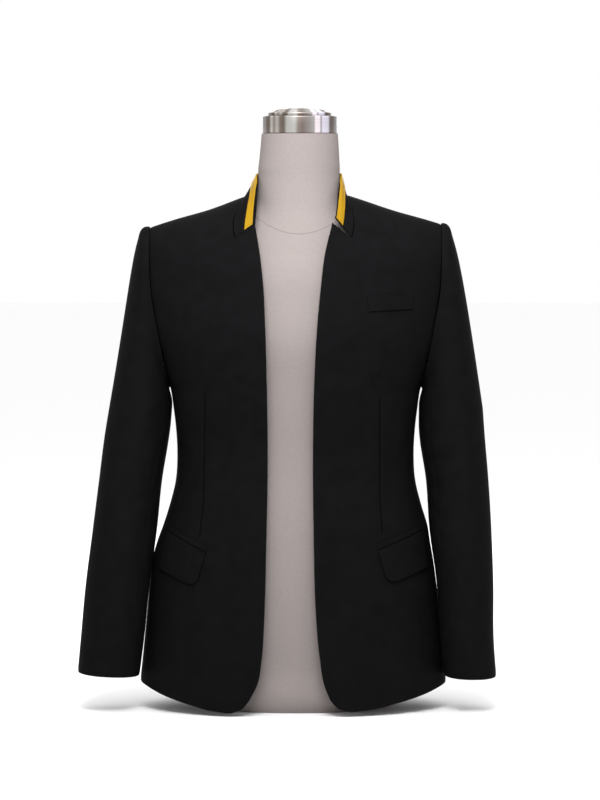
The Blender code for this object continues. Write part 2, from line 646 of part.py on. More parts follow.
# ---- collar ----
SHOULDER_AT = 0.52        # where along the collar half the shoulder seam meets it
COLLAR_LIFT = 0.0006


def collar_seats(side):
    """(along, point, normal) of each corner of the cut neckline, notch to centre back."""
    first = SIDE_ROWS + NOTCH_ROW
    places = FRONTS[side][EDGE_COLUMNS][first:]
    start = armhole_level(THETAS[NOTCH_ROW])
    alongs = [SHOULDER_AT * (armhole_level(t) - start) / (ROOF_TOP - start) for t in THETAS[NOTCH_ROW:]]
    for k in range(1, NECK_COLUMNS + 1):
        places.append(BACKS[side][NECK_COLUMNS - k][-1])
        alongs.append(mix(SHOULDER_AT, 1.0, k / NECK_COLUMNS))
    return [(along, body(*p), body_normal(*p)) for along, p in zip(alongs, places)]


SEATS = {side: collar_seats(side) for side in (-1, 1)}
CORNERS = [seat[0] for seat in SEATS[1]]
COLLAR_STEPS = sorted(CORNERS + [(a + b) / 2 for a, b in zip(CORNERS, CORNERS[1:])])


def collar_seat(side, along):
    """Where the collar's lower edge meets the neckline, and the body's normal there."""
    k = 0
    while k < len(CORNERS) - 2 and CORNERS[k + 1] < along:
        k += 1
    share = (along - CORNERS[k]) / (CORNERS[k + 1] - CORNERS[k])
    low = SEATS[side][k]
    high = SEATS[side][k + 1]
    return low[1].lerp(high[1], share), low[2].lerp(high[2], share).normalized()


def collar_line(side, along):
    """Lower and upper points of the collar's outer face at a place along it."""
    low, normal = collar_seat(side, max(along, NOTCH_OPEN[side]))
    x = smooth(COLLAR_TOP, WIDTH[side], along)
    lift = END_LIFT[side] * max(0.0, 1 - along / 0.15) ** 2
    high = Vector((side * x, smooth(COLLAR_TOP, "y", along), smooth(COLLAR_TOP, "z", along) + lift))
    rise = (high - low).normalized()
    return low + rise * COLLAR_LIFT + normal * COLLAR_LIFT * 0.8, high


def collar_places():
    right = [(-1, along) for along in COLLAR_STEPS]
    left = [(1, along) for along in COLLAR_STEPS[-2::-1]]
    return right + left


def ribbon_edges(side, along):
    """Shares of the collar's height where the ribbon starts and ends."""
    word = WIDTH[side]
    return [smooth(RIBBON_EDGES, word + "_low", along), smooth(RIBBON_EDGES, word + "_high", along)]


def collar_wall(whole, out, thickness, ends):
    """Grids of the whole collar strip or the ribbon's part of it, moved out, trimmed at its ends."""
    places = collar_places()
    lines = [collar_line(*place) for place in places]
    lines[0] = tuple(a.lerp(b, ends) for a, b in zip(lines[0], lines[1]))
    lines[-1] = tuple(a.lerp(b, ends) for a, b in zip(lines[-1], lines[-2]))
    outer = []
    inner = []
    for k, (low, high) in enumerate(lines):
        before = lines[max(0, k - 1)]
        after = lines[min(len(lines) - 1, k + 1)]
        normal = (after[0] + after[1] - before[0] - before[1]).cross(high - low).normalized()
        mid = (low + high) / 2 - Vector((CAP_CENTRE_X * 0.5, 0.0, 0.67))
        if normal.dot(Vector((mid.x, mid.y, 0.0))) < 0:
            normal = -normal
        shares = ribbon_edges(*places[k])
        if whole:
            shares = [0.0, *shares, 1.0]
        points = [low.lerp(high, share) for share in shares]
        outer.append([p + normal * out for p in points])
        inner.append([p + normal * (out - thickness) for p in points])
    return outer, inner


outer, inner = collar_wall(True, 0.0, TRIM, 0.0)
wall("collar_stand", outer, inner, SUITING, 0.85, None, flip=True)
outer, inner = collar_wall(False, SEAM_GAP * 1.5 + RIBBON, RIBBON, 0.12)
wall("collar_band", outer, inner, (0.66, 0.36, 0.022), 0.35, None, flip=True)


# ---- pockets ----
def patch_wall(name, patch, columns, rows, out, thickness, corner=0.0):
    """A piece lying on a front, made from the front's own points moved out."""
    outer = []
    inner = []
    side = patch.side
    panel = bpy.data.objects["front_" + WIDTH[side]].data
    cloth = BVHTree.FromPolygons([v.co for v in panel.vertices], [p.vertices for p in panel.polygons])
    for i in range(columns + 1):
        share = i / columns
        if corner:
            share = share ** 1.5
        top = (mix(patch.x_front, patch.x_back, share), mix(patch.z_front, patch.z_back, share))
        low = (mix(patch.x_low_front, patch.x_low_back, share), mix(patch.z_low_front, patch.z_low_back, share))
        along = share * (patch.x_low_back - patch.x_low_front)
        short = corner - math.sqrt(max(0.0, corner ** 2 - max(0.0, corner - along) ** 2))
        deep = math.hypot(top[0] - low[0], top[1] - low[1])
        low = (mix(low[0], top[0], short / deep), mix(low[1], top[1], short / deep))
        outer_column = []
        inner_column = []
        for j in range(rows + 1):
            x = side * mix(top[0], low[0], j / rows)
            z = mix(top[1], low[1], j / rows)
            angle = angle_of(x, z)
            normal = body_normal(angle, z)
            point = cloth.ray_cast(body(angle, z) + normal * 0.01, -normal)[0]
            outer_column.append(point + normal * (out + thickness))
            inner_column.append(point + normal * out)
        outer.append(outer_column)
        inner.append(inner_column)
    wall(name, outer, inner, SUITING, 0.85, None, flip=side > 0)


LAY = 0.0008              # clear of the faceted panel below
for patch in FLAPS:
    patch_wall("pocket_flap_" + WIDTH[patch.side], patch, 10, 5, LAY, CLOTH, FLAP_ROUND)
for patch in JETS:
    patch_wall("pocket_jet_" + WIDTH[patch.side], patch, 6, 1, LAY, TRIM)
patch_wall("chest_welt", WELT, 6, 2, LAY, TRIM)
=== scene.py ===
"""Looks of the open blazer on its limbless form: fine cloth shells, their creases and finishes,
the form and its neck plate, the studio and the camera. Metres, +Z up, the front faces -Y."""

from collections import namedtuple
from math import acos, asin, copysign, cos, degrees, dist, exp, hypot, pi, radians, sin, sqrt

import bpy
import numpy as np
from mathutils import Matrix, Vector
from mathutils.bvhtree import BVHTree


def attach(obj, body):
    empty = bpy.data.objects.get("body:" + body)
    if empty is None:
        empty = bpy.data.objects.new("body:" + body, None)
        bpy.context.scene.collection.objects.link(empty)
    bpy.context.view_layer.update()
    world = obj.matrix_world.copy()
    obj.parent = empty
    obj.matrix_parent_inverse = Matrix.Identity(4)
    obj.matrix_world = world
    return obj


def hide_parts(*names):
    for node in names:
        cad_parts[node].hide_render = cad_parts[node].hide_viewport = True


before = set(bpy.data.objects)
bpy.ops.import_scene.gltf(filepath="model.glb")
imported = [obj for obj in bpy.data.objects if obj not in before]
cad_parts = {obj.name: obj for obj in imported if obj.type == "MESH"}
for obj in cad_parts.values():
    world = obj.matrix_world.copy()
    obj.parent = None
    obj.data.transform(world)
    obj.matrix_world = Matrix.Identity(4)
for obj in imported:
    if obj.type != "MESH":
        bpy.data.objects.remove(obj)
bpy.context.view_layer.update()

# ---- driving sizes, as in the part's source. Side -1 is the wearer's right, 1 the left ----
SIDES = (-1, 1)
WIDTH = {-1: "right", 1: "left"}
CLOTH = 0.002  # wall of the suit cloth
TRIM = 0.0016  # wall of the collar, jets and welt
RIBBON = 0.0008  # wall of the satin ribbon
SEAM_GAP = 0.0003  # gap between neighbouring pieces of the source
UNDERARM = 0.422  # height of the armhole's lowest point
ROOF_START = 0.582  # above this the body turns in to the shoulder seam
ROOF_LEVELS = 0.08  # metres of level that the turn takes
ROOF_TOP = ROOF_START + ROOF_LEVELS
ROOF_BEND = 1.1  # 1 is a round shoulder, more is flatter
SHOULDER_TIP_Z = 0.634
SHOULDER_TIP_X = 0.192
SHOULDER_RISE = 0.326  # height gained per metre toward the neck
SHOULDER_SKEW = 0.012  # and this much more toward the wearer's left
RIDGE_ROUND = 0.025  # the shoulder line levels out this near the middle
# where each shoulder line dips: x, width, depth
HOLLOWS = ((-0.112, 0.036, 0.0026), (0.128, 0.034, 0.0016))
ARMHOLE_SWEEP = radians(24.5)
SLEEVE_TOP_SEAMS = (-120, 135)  # degrees round the sleeve, 0 is outermost and 90 is front
ROW_TURN = 15  # degrees of armhole from row to row

Ring = namedtuple("Ring", "z half_width front_depth back_depth roundness centre_x", defaults=(2.0, 0.0))
Half = namedtuple("Half", "at right left")  # a size of each half at an angle or height
Neck = namedtuple("Neck", "along z right left")  # neckline, notch to shoulder seam
Collar = namedtuple("Collar", "along right left y z")  # top edge, front end to centre back
Ribbon = namedtuple("Ribbon", "along right_low right_high left_low left_high")
Arm = namedtuple("Arm", "z centre_x centre_y half_width half_depth roundness", defaults=(2.2,))


def table(kind, rows):
    return [kind(*row) for row in rows]


# rings of the jacket's outer face, and of the form's torso
BODY = table(Ring, [
    (0, .2052, .121, .118, 2.25, -.0034), (.05, .2006, .12, .118, 2.25, -.003),
    (.112, .1943, .118, .116, 2.25, -.0031), (.17, .1883, .115, .114, 2.25, -.0031),
    (.204, .1834, .1134, .112, 2.25, -.0033), (.22, .1796, .1127, .111, 2.25, -.0023),
    (.236, .1754, .112, .11, 2.25, -.0005), (.268, .1655, .109, .106, 2.25), (.299, .158, .1065, .1, 2.25),
    (.335, .1558, .106, .096, 2.25), (.366, .1573, .11, .0965, 2.28), (.394, .1605, .1165, .097, 2.3),
    (.422, .165, .121, .099, 2.3), (.448, .175, .1245, .1, 2.3), (.497, .191, .127, .102, 2.3),
    (.56, .205, .112, .104, 2.3), (.592, .2065, .104, .105, 2.3), (.69, .2085, .098, .106, 2.3),
])
FORM = table(Ring, [
    (0, .124, .078, .076, 2.1), (.007, .131, .084, .082, 2.1), (.06, .142, .09, .09, 2.1),
    (.15, .15, .094, .095, 2.1, .0005), (.236, .148, .092, .091, 2.1, .001),
    (.325, .134, .088, .079, 2.1, .002), (.422, .144, .1, .083, 2.1, .003),
    (.497, .157, .1085, .086, 2.1, .0035), (.54, .164, .1, .086, 2.1, .0039),
    (.56, .167, .0935, .085, 2.1, .004), (.58, .1692, .0845, .081, 2, .0041),
    (.6, .171, .074, .075, 1.9, .0043), (.62, .171, .0625, .068, 1.8, .0044),
    (.632, .169, .0545, .06, 1.7, .0046), (.64, .163, .048, .054, 1.6, .0048),
    (.65, .132, .039, .045, 1.5, .0048), (.66, .094, .029, .035, 1.5, .0048),
    (.668, .0625, .02, .025, 1.6, .0047), (.678, .04, .01, .015, 2, .0046),
    (.7, .01, .005, .005, 2, .0046), (.7077, .01, .005, .005, 2, .0046), (.7195, .01, .005, .005, 2, .005),
    (.7353, .01, .005, .005, 2, .0054), (.7548, .01, .005, .005, 2, .0056),
])
# the neck's own column, blended into the chest and shoulders
COLUMN = table(Ring, [
    (.497, .05, .05, .05), (.54, .08, .079, .06), (.56, .088, .086, .062), (.58, .088, .086, .06),
    (.6, .082, .08, .056), (.62, .073, .0745, .053), (.64, .065, .0682, .0515), (.66, .059, .0618, .051),
    (.678, .0558, .0575, .051), (.69, .0542, .0552, .051), (.7015, .0534, .0536, .0508),
    (.7077, .0536, .053, .0507), (.7195, .0527, .052, .0506), (.7353, .0515, .0508, .0502),
    (.7548, .05, .0495, .0494),
])
BLEND = 7  # how tightly the two meet
# height of the hem by angle, and half gap between the open front edges by height
HEM = table(Half, [
    (12.9, .0225, .0225), (14.8, .013, .0138), (18, .0066, .008), (26, .0062, .0082), (36.8, .0125, .0135),
    (51.9, .0215, .0215), (70, .0312, .03), (90, .035, .0335), (135, .035, .0345), (180, .034, .034),
])
FRONT_EDGE = table(Half, [
    (.0225, .0595, .0452), (.04, .0505, .038), (.075, .0438, .0318), (.118, .0408, .0275),
    (.166, .0391, .025), (.218, .038, .024), (.33, .0361, .0227), (.438, .0372, .0245),
    (.512, .0392, .0285), (.556, .0414, .0327), (.6, .0461, .0382), (.64, .053, .0478),
])
NECKLINE = table(Neck, [
    (0, .6196, .0786, .0735), (.25, .631, .0813, .0757), (.5, .644, .0806, .0762),
    (.75, .658, .0748, .0735), (1, .672, .0668, .0668),
])
PEAK_Z = {-1: 0.6357, 1: 0.638}  # top corner of each front
BACK_NECK_Z = 0.658
BACK_NECK_X = 0.0668
COLLAR_TOP = table(Collar, [
    (0, .0522, .0515, -.0765, .6375), (.15, .0508, .0535, -.063, .657), (.32, .0501, .0563, -.04, .6815),
    (.52, .0512, .0603, 0, .7003), (.75, .0385, .0475, .042, .6995), (1, -.0055, .0055, .0575, .696),
])
END_LIFT = 0.008  # the left end stands up off the notch
COLLAR_START = {-1: 0.0016, 1: 0.008}  # where on the neckline each end starts
# the ribbon's edges, in shares of the collar's height
RIBBON_EDGES = table(Ribbon, [
    (0, .47, .86, .575, .95), (.17, .575, .875, .575, .94), (.31, .65, .93, .585, .94),
    (.43, .69, 1, .61, .99), (.52, .71, 1, .6, 1), (.75, .66, 1, .62, 1), (1, .64, .99, .64, .99),
])
SLEEVE = {
    -1: table(Arm, [
        (.041, .2458, -.046, .0406, .049), (.094, .2401, -.041, .0416, .052),
        (.165, .2333, -.033, .0421, .056), (.236, .2243, -.022, .0422, .059),
        (.299, .2173, -.01, .0415, .061), (.362, .2085, 0, .0425, .0635), (.394, .2045, .003, .0413, .065),
    ]),
    1: table(Arm, [
        (.041, .2296, -.046, .034, .052), (.094, .2249, -.041, .0351, .054),
        (.165, .2226, -.032, .0372, .057), (.236, .2168, -.021, .0407, .0595),
        (.299, .213, -.009, .0411, .061), (.362, .2061, 0, .043, .0635), (.394, .205, .003, .0419, .065),
    ]),
}
CUFF_LIFT = {-1: 0.008, 1: 0.005}  # the cuff's height over the first row
CUFF_SLANT = {-1: 0.0024, 1: -0.0004}  # its outer side sits this much higher again
HEAD_TRIM = {-1: (-0.004, 0.002), 1: (0.0014, 0.0148)}  # how much flatter each sleeve head runs
# pocket pieces: side, then x and z of the top front, top back, low front and low back corners
FLAPS = [
    (-1, .1163, .2111, .167, .236, .129, .166, .1765, .187),
    (1, .1066, .2148, .164, .2362, .119, .17, .1712, .1885),
]
JETS = [
    (-1, .115, .2192, .164, .242, .1158, .2122, .1668, .2368),
    (1, .1052, .2225, .161, .243, .106, .2155, .163, .2372),
]
WELT = (1, 0.0919, 0.5455, 0.1515, 0.5478, 0.0944, 0.5249, 0.1515, 0.5277)
FLAP_ROUND = 0.013  # rounded front corner of a pocket flap
CAP_RING = (0.0494, 0.7551, 0.7778)  # radius, bottom, top
CAP_DOME = (0.042, 0.7781, 0.789)
CAP_CENTRE_X = 0.0056


def smooth(rows, field, at):
    """A smooth line through one column of a table, whose first column is the place."""
    xs = [row[0] for row in rows]
    ys = [getattr(row, field) for row in rows]
    last = len(xs) - 1
    if not xs[0] < at < xs[last]:
        return ys[0 if at <= xs[0] else last]
    i = next(k for k in range(last) if xs[k + 1] >= at)

    def slope(k):
        return (ys[k + 1] - ys[k]) / (xs[k + 1] - xs[k])

    def lean(k):
        if k in (0, last):
            return slope(min(k, last - 1))
        before = xs[k] - xs[k - 1]
        after = xs[k + 1] - xs[k]
        return (slope(k - 1) * after + slope(k) * before) / (before + after)

    wide = xs[i + 1] - xs[i]
    t = (at - xs[i]) / wide
    return (
        (2 * t ** 3 - 3 * t ** 2 + 1) * ys[i]
        + (t ** 3 - 2 * t ** 2 + t) * wide * lean(i)
        + (3 * t ** 2 - 2 * t ** 3) * ys[i + 1]
        + (t ** 3 - t ** 2) * wide * lean(i + 1)
    )


def mix(a, b, t):
    return a + (b - a) * t


def power(value, exponent):
    return copysign(abs(value) ** exponent, value)


def hollow(x):
    """How far the shoulder line dips under a straight one."""
    return sum(deep * exp(-((x - at) / wide) ** 2) for at, wide, deep in HOLLOWS)


def ridge(x):
    """Height of the shoulder line over x."""
    run = hypot(x, RIDGE_ROUND)
    tip = hypot(SHOULDER_TIP_X, RIDGE_ROUND)
    return SHOULDER_TIP_Z + SHOULDER_RISE * (tip - run) + SHOULDER_SKEW * x - hollow(x)


def ring_sizes(rows, angle, z):
    """Half width, depth and roundness of the ring at z, front or back by the angle."""
    depth = "front_depth" if cos(angle) > 0 else "back_depth"
    return (smooth(rows, field, z) for field in ("half_width", depth, "roundness"))


def ring_point(rows, angle, z):
    """A point of the ring at z. The angle is 0 at centre front and grows toward +X."""
    wide, depth, n = ring_sizes(rows, angle, z)
    x = wide * power(sin(angle), 2 / n)
    return smooth(rows, "centre_x", z) + x, -depth * power(cos(angle), 2 / n)


def reach_of(rows, angle, z):
    """How far a ring reaches from its centre toward an angle."""
    wide, depth, n = ring_sizes(rows, angle, z)
    return ((abs(cos(angle)) / depth) ** n + (abs(sin(angle)) / wide) ** n) ** (-1 / n)


def form_point(angle, z):
    """A point of the form: neck column and torso blended, with the shoulder's dips."""
    reach = reach_of(FORM, angle, z)
    if z > COLUMN[0].z:
        reach = (reach ** BLEND + reach_of(COLUMN, angle, z) ** BLEND) ** (1 / BLEND)
    x = smooth(FORM, "centre_x", z) + reach * sin(angle)
    return x, -reach * cos(angle), z - hollow(x) * min(1.0, max(0.0, (z - 0.56) / 0.06))


def body(angle, level):
    """A point of the jacket's outer face. Above ROOF_START it turns in over the shoulder."""
    if level <= ROOF_START:
        return Vector((*ring_point(BODY, angle, level), level))
    turn = min(1.0, (level - ROOF_START) / ROOF_LEVELS) * pi / 2
    x = ring_point(BODY, angle, ROOF_START)[0]
    for _ in range(3):
        z = ROOF_START + (ridge(x) - ROOF_START) * sin(turn) ** ROOF_BEND
        x, y = ring_point(BODY, angle, z)
    return Vector((x, y * max(0.0, cos(turn)) ** ROOF_BEND, z))


def body_normal(angle, level):
    e = 0.0005
    level = min(level, ROOF_TOP - e)
    across = body(angle + 0.002, level) - body(angle - 0.002, level)
    up = body(angle, level + e) - body(angle, level - e)
    return across.cross(up).normalized()


def angle_of(x, z):
    """The ring angle in front whose x is x at z."""
    share = (x - smooth(BODY, "centre_x", z)) / smooth(BODY, "half_width", z)
    return asin(max(-1.0, min(1.0, power(share, smooth(BODY, "roundness", z) / 2))))


def level_of(x, z):
    """The level whose height over x is z."""
    if z <= ROOF_START:
        return z
    share = min(1.0, (z - ROOF_START) / (ridge(x) - ROOF_START))
    return ROOF_START + ROOF_LEVELS * asin(share ** (1 / ROOF_BEND)) * 2 / pi


def armhole_level(theta):
    """Level on the armhole. Theta is 0 at the shoulder tip, pi/2 in front, pi at the underarm."""
    return UNDERARM + (ROOF_TOP - UNDERARM) * (1 + cos(theta)) / 2


def up_armhole(level):
    """Share of the armhole's height, underarm 0 to shoulder seam 1."""
    return (level - UNDERARM) / (ROOF_TOP - UNDERARM)


def armhole_angle(level):
    """How far the armhole stands from the side line at a level."""
    return ARMHOLE_SWEEP * sqrt(max(0.0, 1 - (1 - max(0.0, up_armhole(level))) ** 4))


def armhole(side, theta):
    """(angle, level) of an armhole point."""
    level = armhole_level(theta)
    sweep = armhole_angle(level)
    return side * (pi / 2 - copysign(sweep, sin(theta))), level


# ---- meshes ----
def unit(vectors):
    return vectors / np.maximum(np.linalg.norm(vectors, axis=-1, keepdims=True), 1e-12)


def grid_normals(points, outward):
    """Unit normals of a grid of points. Outward is 1 or -1, by the grid's own turn."""
    return unit(np.cross(np.gradient(points, axis=0), np.gradient(points, axis=1))) * outward


def run_in(points, axis, end):
    """Distance on the cloth of each grid point from one end of its row or column."""
    steps = np.diff(points, axis=axis, prepend=np.take(points, [0], axis=axis))
    total = np.cumsum(np.linalg.norm(steps, axis=-1), axis=axis)
    return np.take(total, [-1], axis=axis) - total if end else total


def make_object(name, data):
    obj = bpy.data.objects.new(name, data)
    bpy.context.scene.collection.objects.link(obj)
    return obj


def make_mesh(name, points, faces):
    mesh = bpy.data.meshes.new(name)
    mesh.from_pydata([tuple(p) for p in points], [], faces)
    mesh.validate()
    mesh.shade_smooth()
    return make_object(name, mesh)


def shell(name, outer, inner, flip, kept=None, rim=0.0005):
    """A thin closed cloth shell between two grids of points, its rims rounded."""
    columns, rows = outer.shape[:2]
    if kept is None:
        kept = np.ones((columns - 1, rows - 1), bool)
    ringed = np.pad(kept, 1)
    number = np.arange(columns * rows).reshape(columns, rows)
    second = columns * rows
    faces = []
    for i, j in np.argwhere(kept):
        a, b, c, d = (int(number[p]) for p in ((i, j), (i + 1, j), (i + 1, j + 1), (i, j + 1)))
        faces.append((a, b, c, d))
        faces.append((d + second, c + second, b + second, a + second))
        for p, q, i2, j2 in ((a, b, i, j - 1), (b, c, i + 1, j), (c, d, i, j + 1), (d, a, i - 1, j)):
            if not ringed[i2 + 1, j2 + 1]:
                faces.append((q, p, p + second, q + second))
    if flip:
        faces = [face[::-1] for face in faces]
    used = sorted({v for face in faces for v in face})
    order = {v: k for k, v in enumerate(used)}
    points = np.concatenate([outer.reshape(-1, 3), inner.reshape(-1, 3)])[used]
    obj = make_mesh(name, points, [tuple(order[v] for v in face) for face in faces])
    run = np.array([divmod(v % second, rows) for v in used]) / (columns - 1, rows - 1)
    corners = np.array([corner.vertex_index for corner in obj.data.loops])
    obj.data.uv_layers.new(name="run").data.foreach_set("uv", run[corners].ravel())
    bevel = obj.modifiers.new("rim", "BEVEL")
    bevel.width = rim
    bevel.segments = 2
    bevel.limit_method = "ANGLE"
    bevel.angle_limit = radians(50)
    return obj


PIECES = {}  # each finished object, by the node that it replaces


def finish_piece(obj, mat, node):
    obj.data.materials.append(mat)
    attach(obj, "root")
    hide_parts(node)
    PIECES[node] = obj


# ---- finishes ----
class Look:
    """The nodes of a material or of the world, with short ways to wire them."""

    def __init__(self, owner, shader, inputs):
        owner.use_nodes = True
        self.owner = owner
        self.tree = owner.node_tree
        self.shader = self.tree.nodes[shader]
        self.put(self.shader, inputs)

    def put(self, node, inputs):
        """Set a node's inputs. Each value is a number, a colour or another node's output."""
        for word, value in inputs.items():
            if isinstance(value, bpy.types.NodeSocket):
                self.tree.links.new(value, node.inputs[word])
            else:
                node.inputs[word].default_value = value

    def add(self, kind, inputs, **settings):
        """The outputs of a new node."""
        node = self.tree.nodes.new("ShaderNode" + kind)
        for word, value in settings.items():
            setattr(node, word, value)
        self.put(node, inputs)
        return node.outputs

    def coords(self, source):
        return self.add("TexCoord", {})[source]

    def axes(self, source="Object"):
        """X, Y and Z of the object's coordinates, or of others."""
        return tuple(self.add("SeparateXYZ", {0: self.coords(source)}))

    def noise(self, stretch, scale, detail, source="Object"):
        """Noise on coordinates stretched on each axis. UV is the cloth's own run."""
        place = self.add("Mapping", {"Vector": self.coords(source), "Scale": stretch})[0]
        return self.add("TexNoise", {"Vector": place, "Scale": scale, "Detail": detail})["Fac"]

    def ramp(self, value, *stops):
        """Colours at (place, red, green, blue)."""
        node = self.tree.nodes.new("ShaderNodeValToRGB")
        elements = node.color_ramp.elements
        while len(elements) < len(stops):
            elements.new(0.5)
        for element, (at, *colour) in zip(elements, stops):
            element.position = at
            element.color = (*colour, 1.0)
        self.put(node, {"Fac": value})
        return node.outputs["Color"]

    def maths(self, how, *values):
        return self.add("Math", dict(enumerate(values)), operation=how)[0]

    def times(self, first, second):
        return self.maths("MULTIPLY", first, second)

    def plus(self, first, second):
        return self.maths("ADD", first, second)

    def minus(self, first, second):
        return self.maths("SUBTRACT", first, second)

    def spread(self, value, low, high, start=0.0, end=1.0, how="LINEAR"):
        """The value from low to high turned into start to end."""
        inputs = {"Value": value, "From Min": low, "From Max": high, "To Min": start, "To Max": end}
        return self.add("MapRange", inputs, interpolation_type=how)["Result"]

    def soft(self, value, low, high):
        return self.spread(value, low, high, how="SMOOTHSTEP")

    def tint(self, colour, how_much, darker):
        """The colour turned toward a darker one where how_much is 1."""
        inputs = {"Factor": how_much, "A": colour, "B": (*darker, 1.0)}
        return self.add("Mix", inputs, data_type="RGBA", blend_type="MULTIPLY")["Result"]

    def bump(self, height, strength, distance, **under):
        """Relief on the shader. Under is Normal=, the relief that this one lies on."""
        inputs = {"Strength": strength, "Distance": distance, "Height": height, **under}
        made = self.add("Bump", inputs)["Normal"]
        self.put(self.shader, {"Normal": made})
        return made


def look_of(name, colour, roughness, metallic=0.0, **more):
    """A plain material. More names other inputs of its shader, with _ for a space."""
    inputs = {"Base Color": (*colour, 1.0), "Roughness": roughness, "Metallic": metallic}
    inputs.update({word.replace("_", " "): value for word, value in more.items()})
    return Look(bpy.data.materials.new(name), "Principled BSDF", inputs)


Dart = namedtuple("Dart", "x_tip z_tip x_waist z_waist x_low z_low")
DARTS = {
    -1: Dart(-0.1168, 0.4337, -0.1197, 0.2792, -0.1247, 0.2289),
    1: Dart(0.1092, 0.43, 0.1097, 0.2797, 0.1131, 0.2347),
}
DART_LINE = (0.0003, 0.0013)  # the painted shade line's half width, and where it ends
DART_FADE = (0.004, 0.03)  # its fade at the low end and at the tip
SHADED = 0.4  # share of light left where shade is painted into a sewn line
FOOT_SHADE = (0.015, 0.055)  # shares of its height where the painted shade at the collar's foot ends
SUIT_SHINE = 0.02
SUIT_SHEEN = 0.0015


def dart_shade_mask(look, x, z, dart):
    """Mask of painted shade along a waist dart: 1 away from it, falling to 0 on its sewn line."""
    low = look.spread(z, dart.z_low, dart.z_waist, dart.x_low, dart.x_waist)
    high = look.spread(z, dart.z_waist, dart.z_tip, 0.0, dart.x_tip - dart.x_waist)
    off = look.maths("ABSOLUTE", look.minus(x, look.plus(low, high)))
    on = look.minus(1.0, look.soft(off, *DART_LINE))
    inside = look.times(look.soft(z, dart.z_low, dart.z_low + DART_FADE[0]),
                        look.soft(z, dart.z_tip, dart.z_tip - DART_FADE[1]))
    return look.minus(1.0, look.times(on, inside))


def suiting(name, painted_shade=None):
    """Close black suiting. On a front or the collar, shade is painted into the sewn lines: darker colour,
    less shine and less sheen.
    """
    look = look_of(name, (0.0039, 0.0039, 0.0043), 0.78, Specular_IOR_Level=SUIT_SHINE,
                   Sheen_Weight=SUIT_SHEEN, Sheen_Roughness=0.45, Sheen_Tint=(0.93, 0.95, 1.0, 1.0))
    even = (1.0, 1.0, 1.0)
    cloud = look.noise(even, 55.0, 7.0)
    colour = look.ramp(cloud, (0.3, 0.0036, 0.0036, 0.0039), (0.7, 0.0049, 0.0049, 0.0054))
    # painted shade in the sewn lines: at the collar's foot, or along the darts of a front
    if painted_shade:
        if painted_shade == "collar":
            unshaded_cloth = look.soft(look.axes("UV")[1], *FOOT_SHADE)
        else:
            x, _, z = look.axes()
            unshaded_cloth = look.times(dart_shade_mask(look, x, z, DARTS[-1]), dart_shade_mask(look, x, z, DARTS[1]))
            unshaded_cloth = look.plus(look.times(unshaded_cloth, 1 - SHADED), SHADED)
        # painted shade: the sewn lines are darkened and lose shine and sheen, as if shade fell in the seams
        colour = look.tint(colour, look.minus(1.0, unshaded_cloth), (0.1, 0.1, 0.1))
        look.put(look.shader, {"Specular IOR Level": look.times(unshaded_cloth, SUIT_SHINE),
                               "Sheen Weight": look.times(unshaded_cloth, SUIT_SHEEN)})
    look.put(look.shader, {"Base Color": colour, "Roughness": look.spread(cloud, 0.3, 0.7, 0.74, 0.82)})
    inputs = {"Vector": look.coords("Object"), "Scale": 340.0, "Distortion": 0.6, "Detail": 1.0}
    twill = look.add("TexWave", inputs, wave_type="BANDS", bands_direction="DIAGONAL")["Fac"]
    ribs = look.bump(twill, 0.1, 0.00012)
    look.bump(look.noise(even, 1500.0, 2.0), 0.12, 0.00018, Normal=ribs)
    return look.owner


def satin():
    """Ribbon satin, its bright and dark threads running along it."""
    look = look_of("collar_satin", (0.26, 0.144, 0.002), 0.34, Specular_IOR_Level=0.1,
                   Sheen_Weight=0.01, Sheen_Tint=(1.0, 0.82, 0.35, 1.0))
    threads = look.noise((3.0, 11.0, 1.0), 1.0, 2.5, "UV")
    fine = look.noise((8.0, 42.0, 1.0), 1.0, 1.5, "UV")
    both = look.plus(look.times(threads, 0.65), look.times(fine, 0.35))
    gold = look.ramp(both, (0.34, 0.1888, 0.0939, 0.002), (0.5, 0.2604, 0.1442, 0.002),
                     (0.66, 0.3841, 0.2437, 0.0039))
    look.put(look.shader, {"Base Color": gold, "Roughness": look.spread(both, 0.3, 0.7, 0.42, 0.3)})
    look.bump(both, 0.2, 0.0001)
    return look.owner


NECK_SEAM = (0.6245, 0.0046, 6.97)  # its lowest height, the neck's middle, how it curves up
NECK_SEAM_LINE = (0.0002, 0.00095)  # its half width, and where its shade ends


def linen():
    """Close linen with faint slubs. A thin sewn line shows where the neck joins the chest."""
    look = look_of("form_cover", (0.24, 0.21, 0.2), 0.9, Specular_IOR_Level=0.15)
    weft = look.noise((160.0, 160.0, 700.0), 1.0, 3.0)
    warp = look.noise((420.0, 420.0, 260.0), 1.0, 2.0)
    value = look.times(look.plus(weft, warp), 0.5)
    cloth = look.ramp(value, (0.3, 0.2285, 0.1998, 0.1933), (0.5, 0.2414, 0.2118, 0.2044),
                      (0.7, 0.2525, 0.2229, 0.2155))
    low, middle, curve = NECK_SEAM
    x, _, z = look.axes()
    across = look.minus(x, middle)
    rise = look.times(look.times(across, across), curve)
    off = look.maths("ABSOLUTE", look.minus(z, look.plus(rise, low)))
    seam = look.spread(off, *NECK_SEAM_LINE, 1.0, 0.0)
    look.put(look.shader, {"Base Color": look.tint(cloth, seam, (0.72, 0.7, 0.7))})
    look.bump(value, 0.12, 0.0002)
    return look.owner


# painted reflection of a room in the plate, as bands: place over its width and colour
BANDS = [
    (0, .27, .25, .24), (.04, .3, .28, .27), (.07, .12, .09, .08), (.1, .15, .12, .1),
    (.125, .46, .44, .41), (.16, .21, .17, .15), (.2, .38, .36, .34), (.24, .15, .12, .1),
    (.29, .11, .09, .07), (.33, .35, .34, .32), (.43, .37, .36, .35), (.48, .18, .15, .13),
    (.54, .14, .11, .1), (.62, .21, .19, .18), (.69, .31, .29, .29), (.71, .73, .65, .68),
    (.765, .7, .64, .68), (.78, .22, .19, .2), (.8, .64, .61, .7), (.875, .59, .56, .64),
    (.9, .13, .1, .09), (.94, .15, .12, .11), (.97, .31, .3, .29), (1, .27, .25, .24),
]


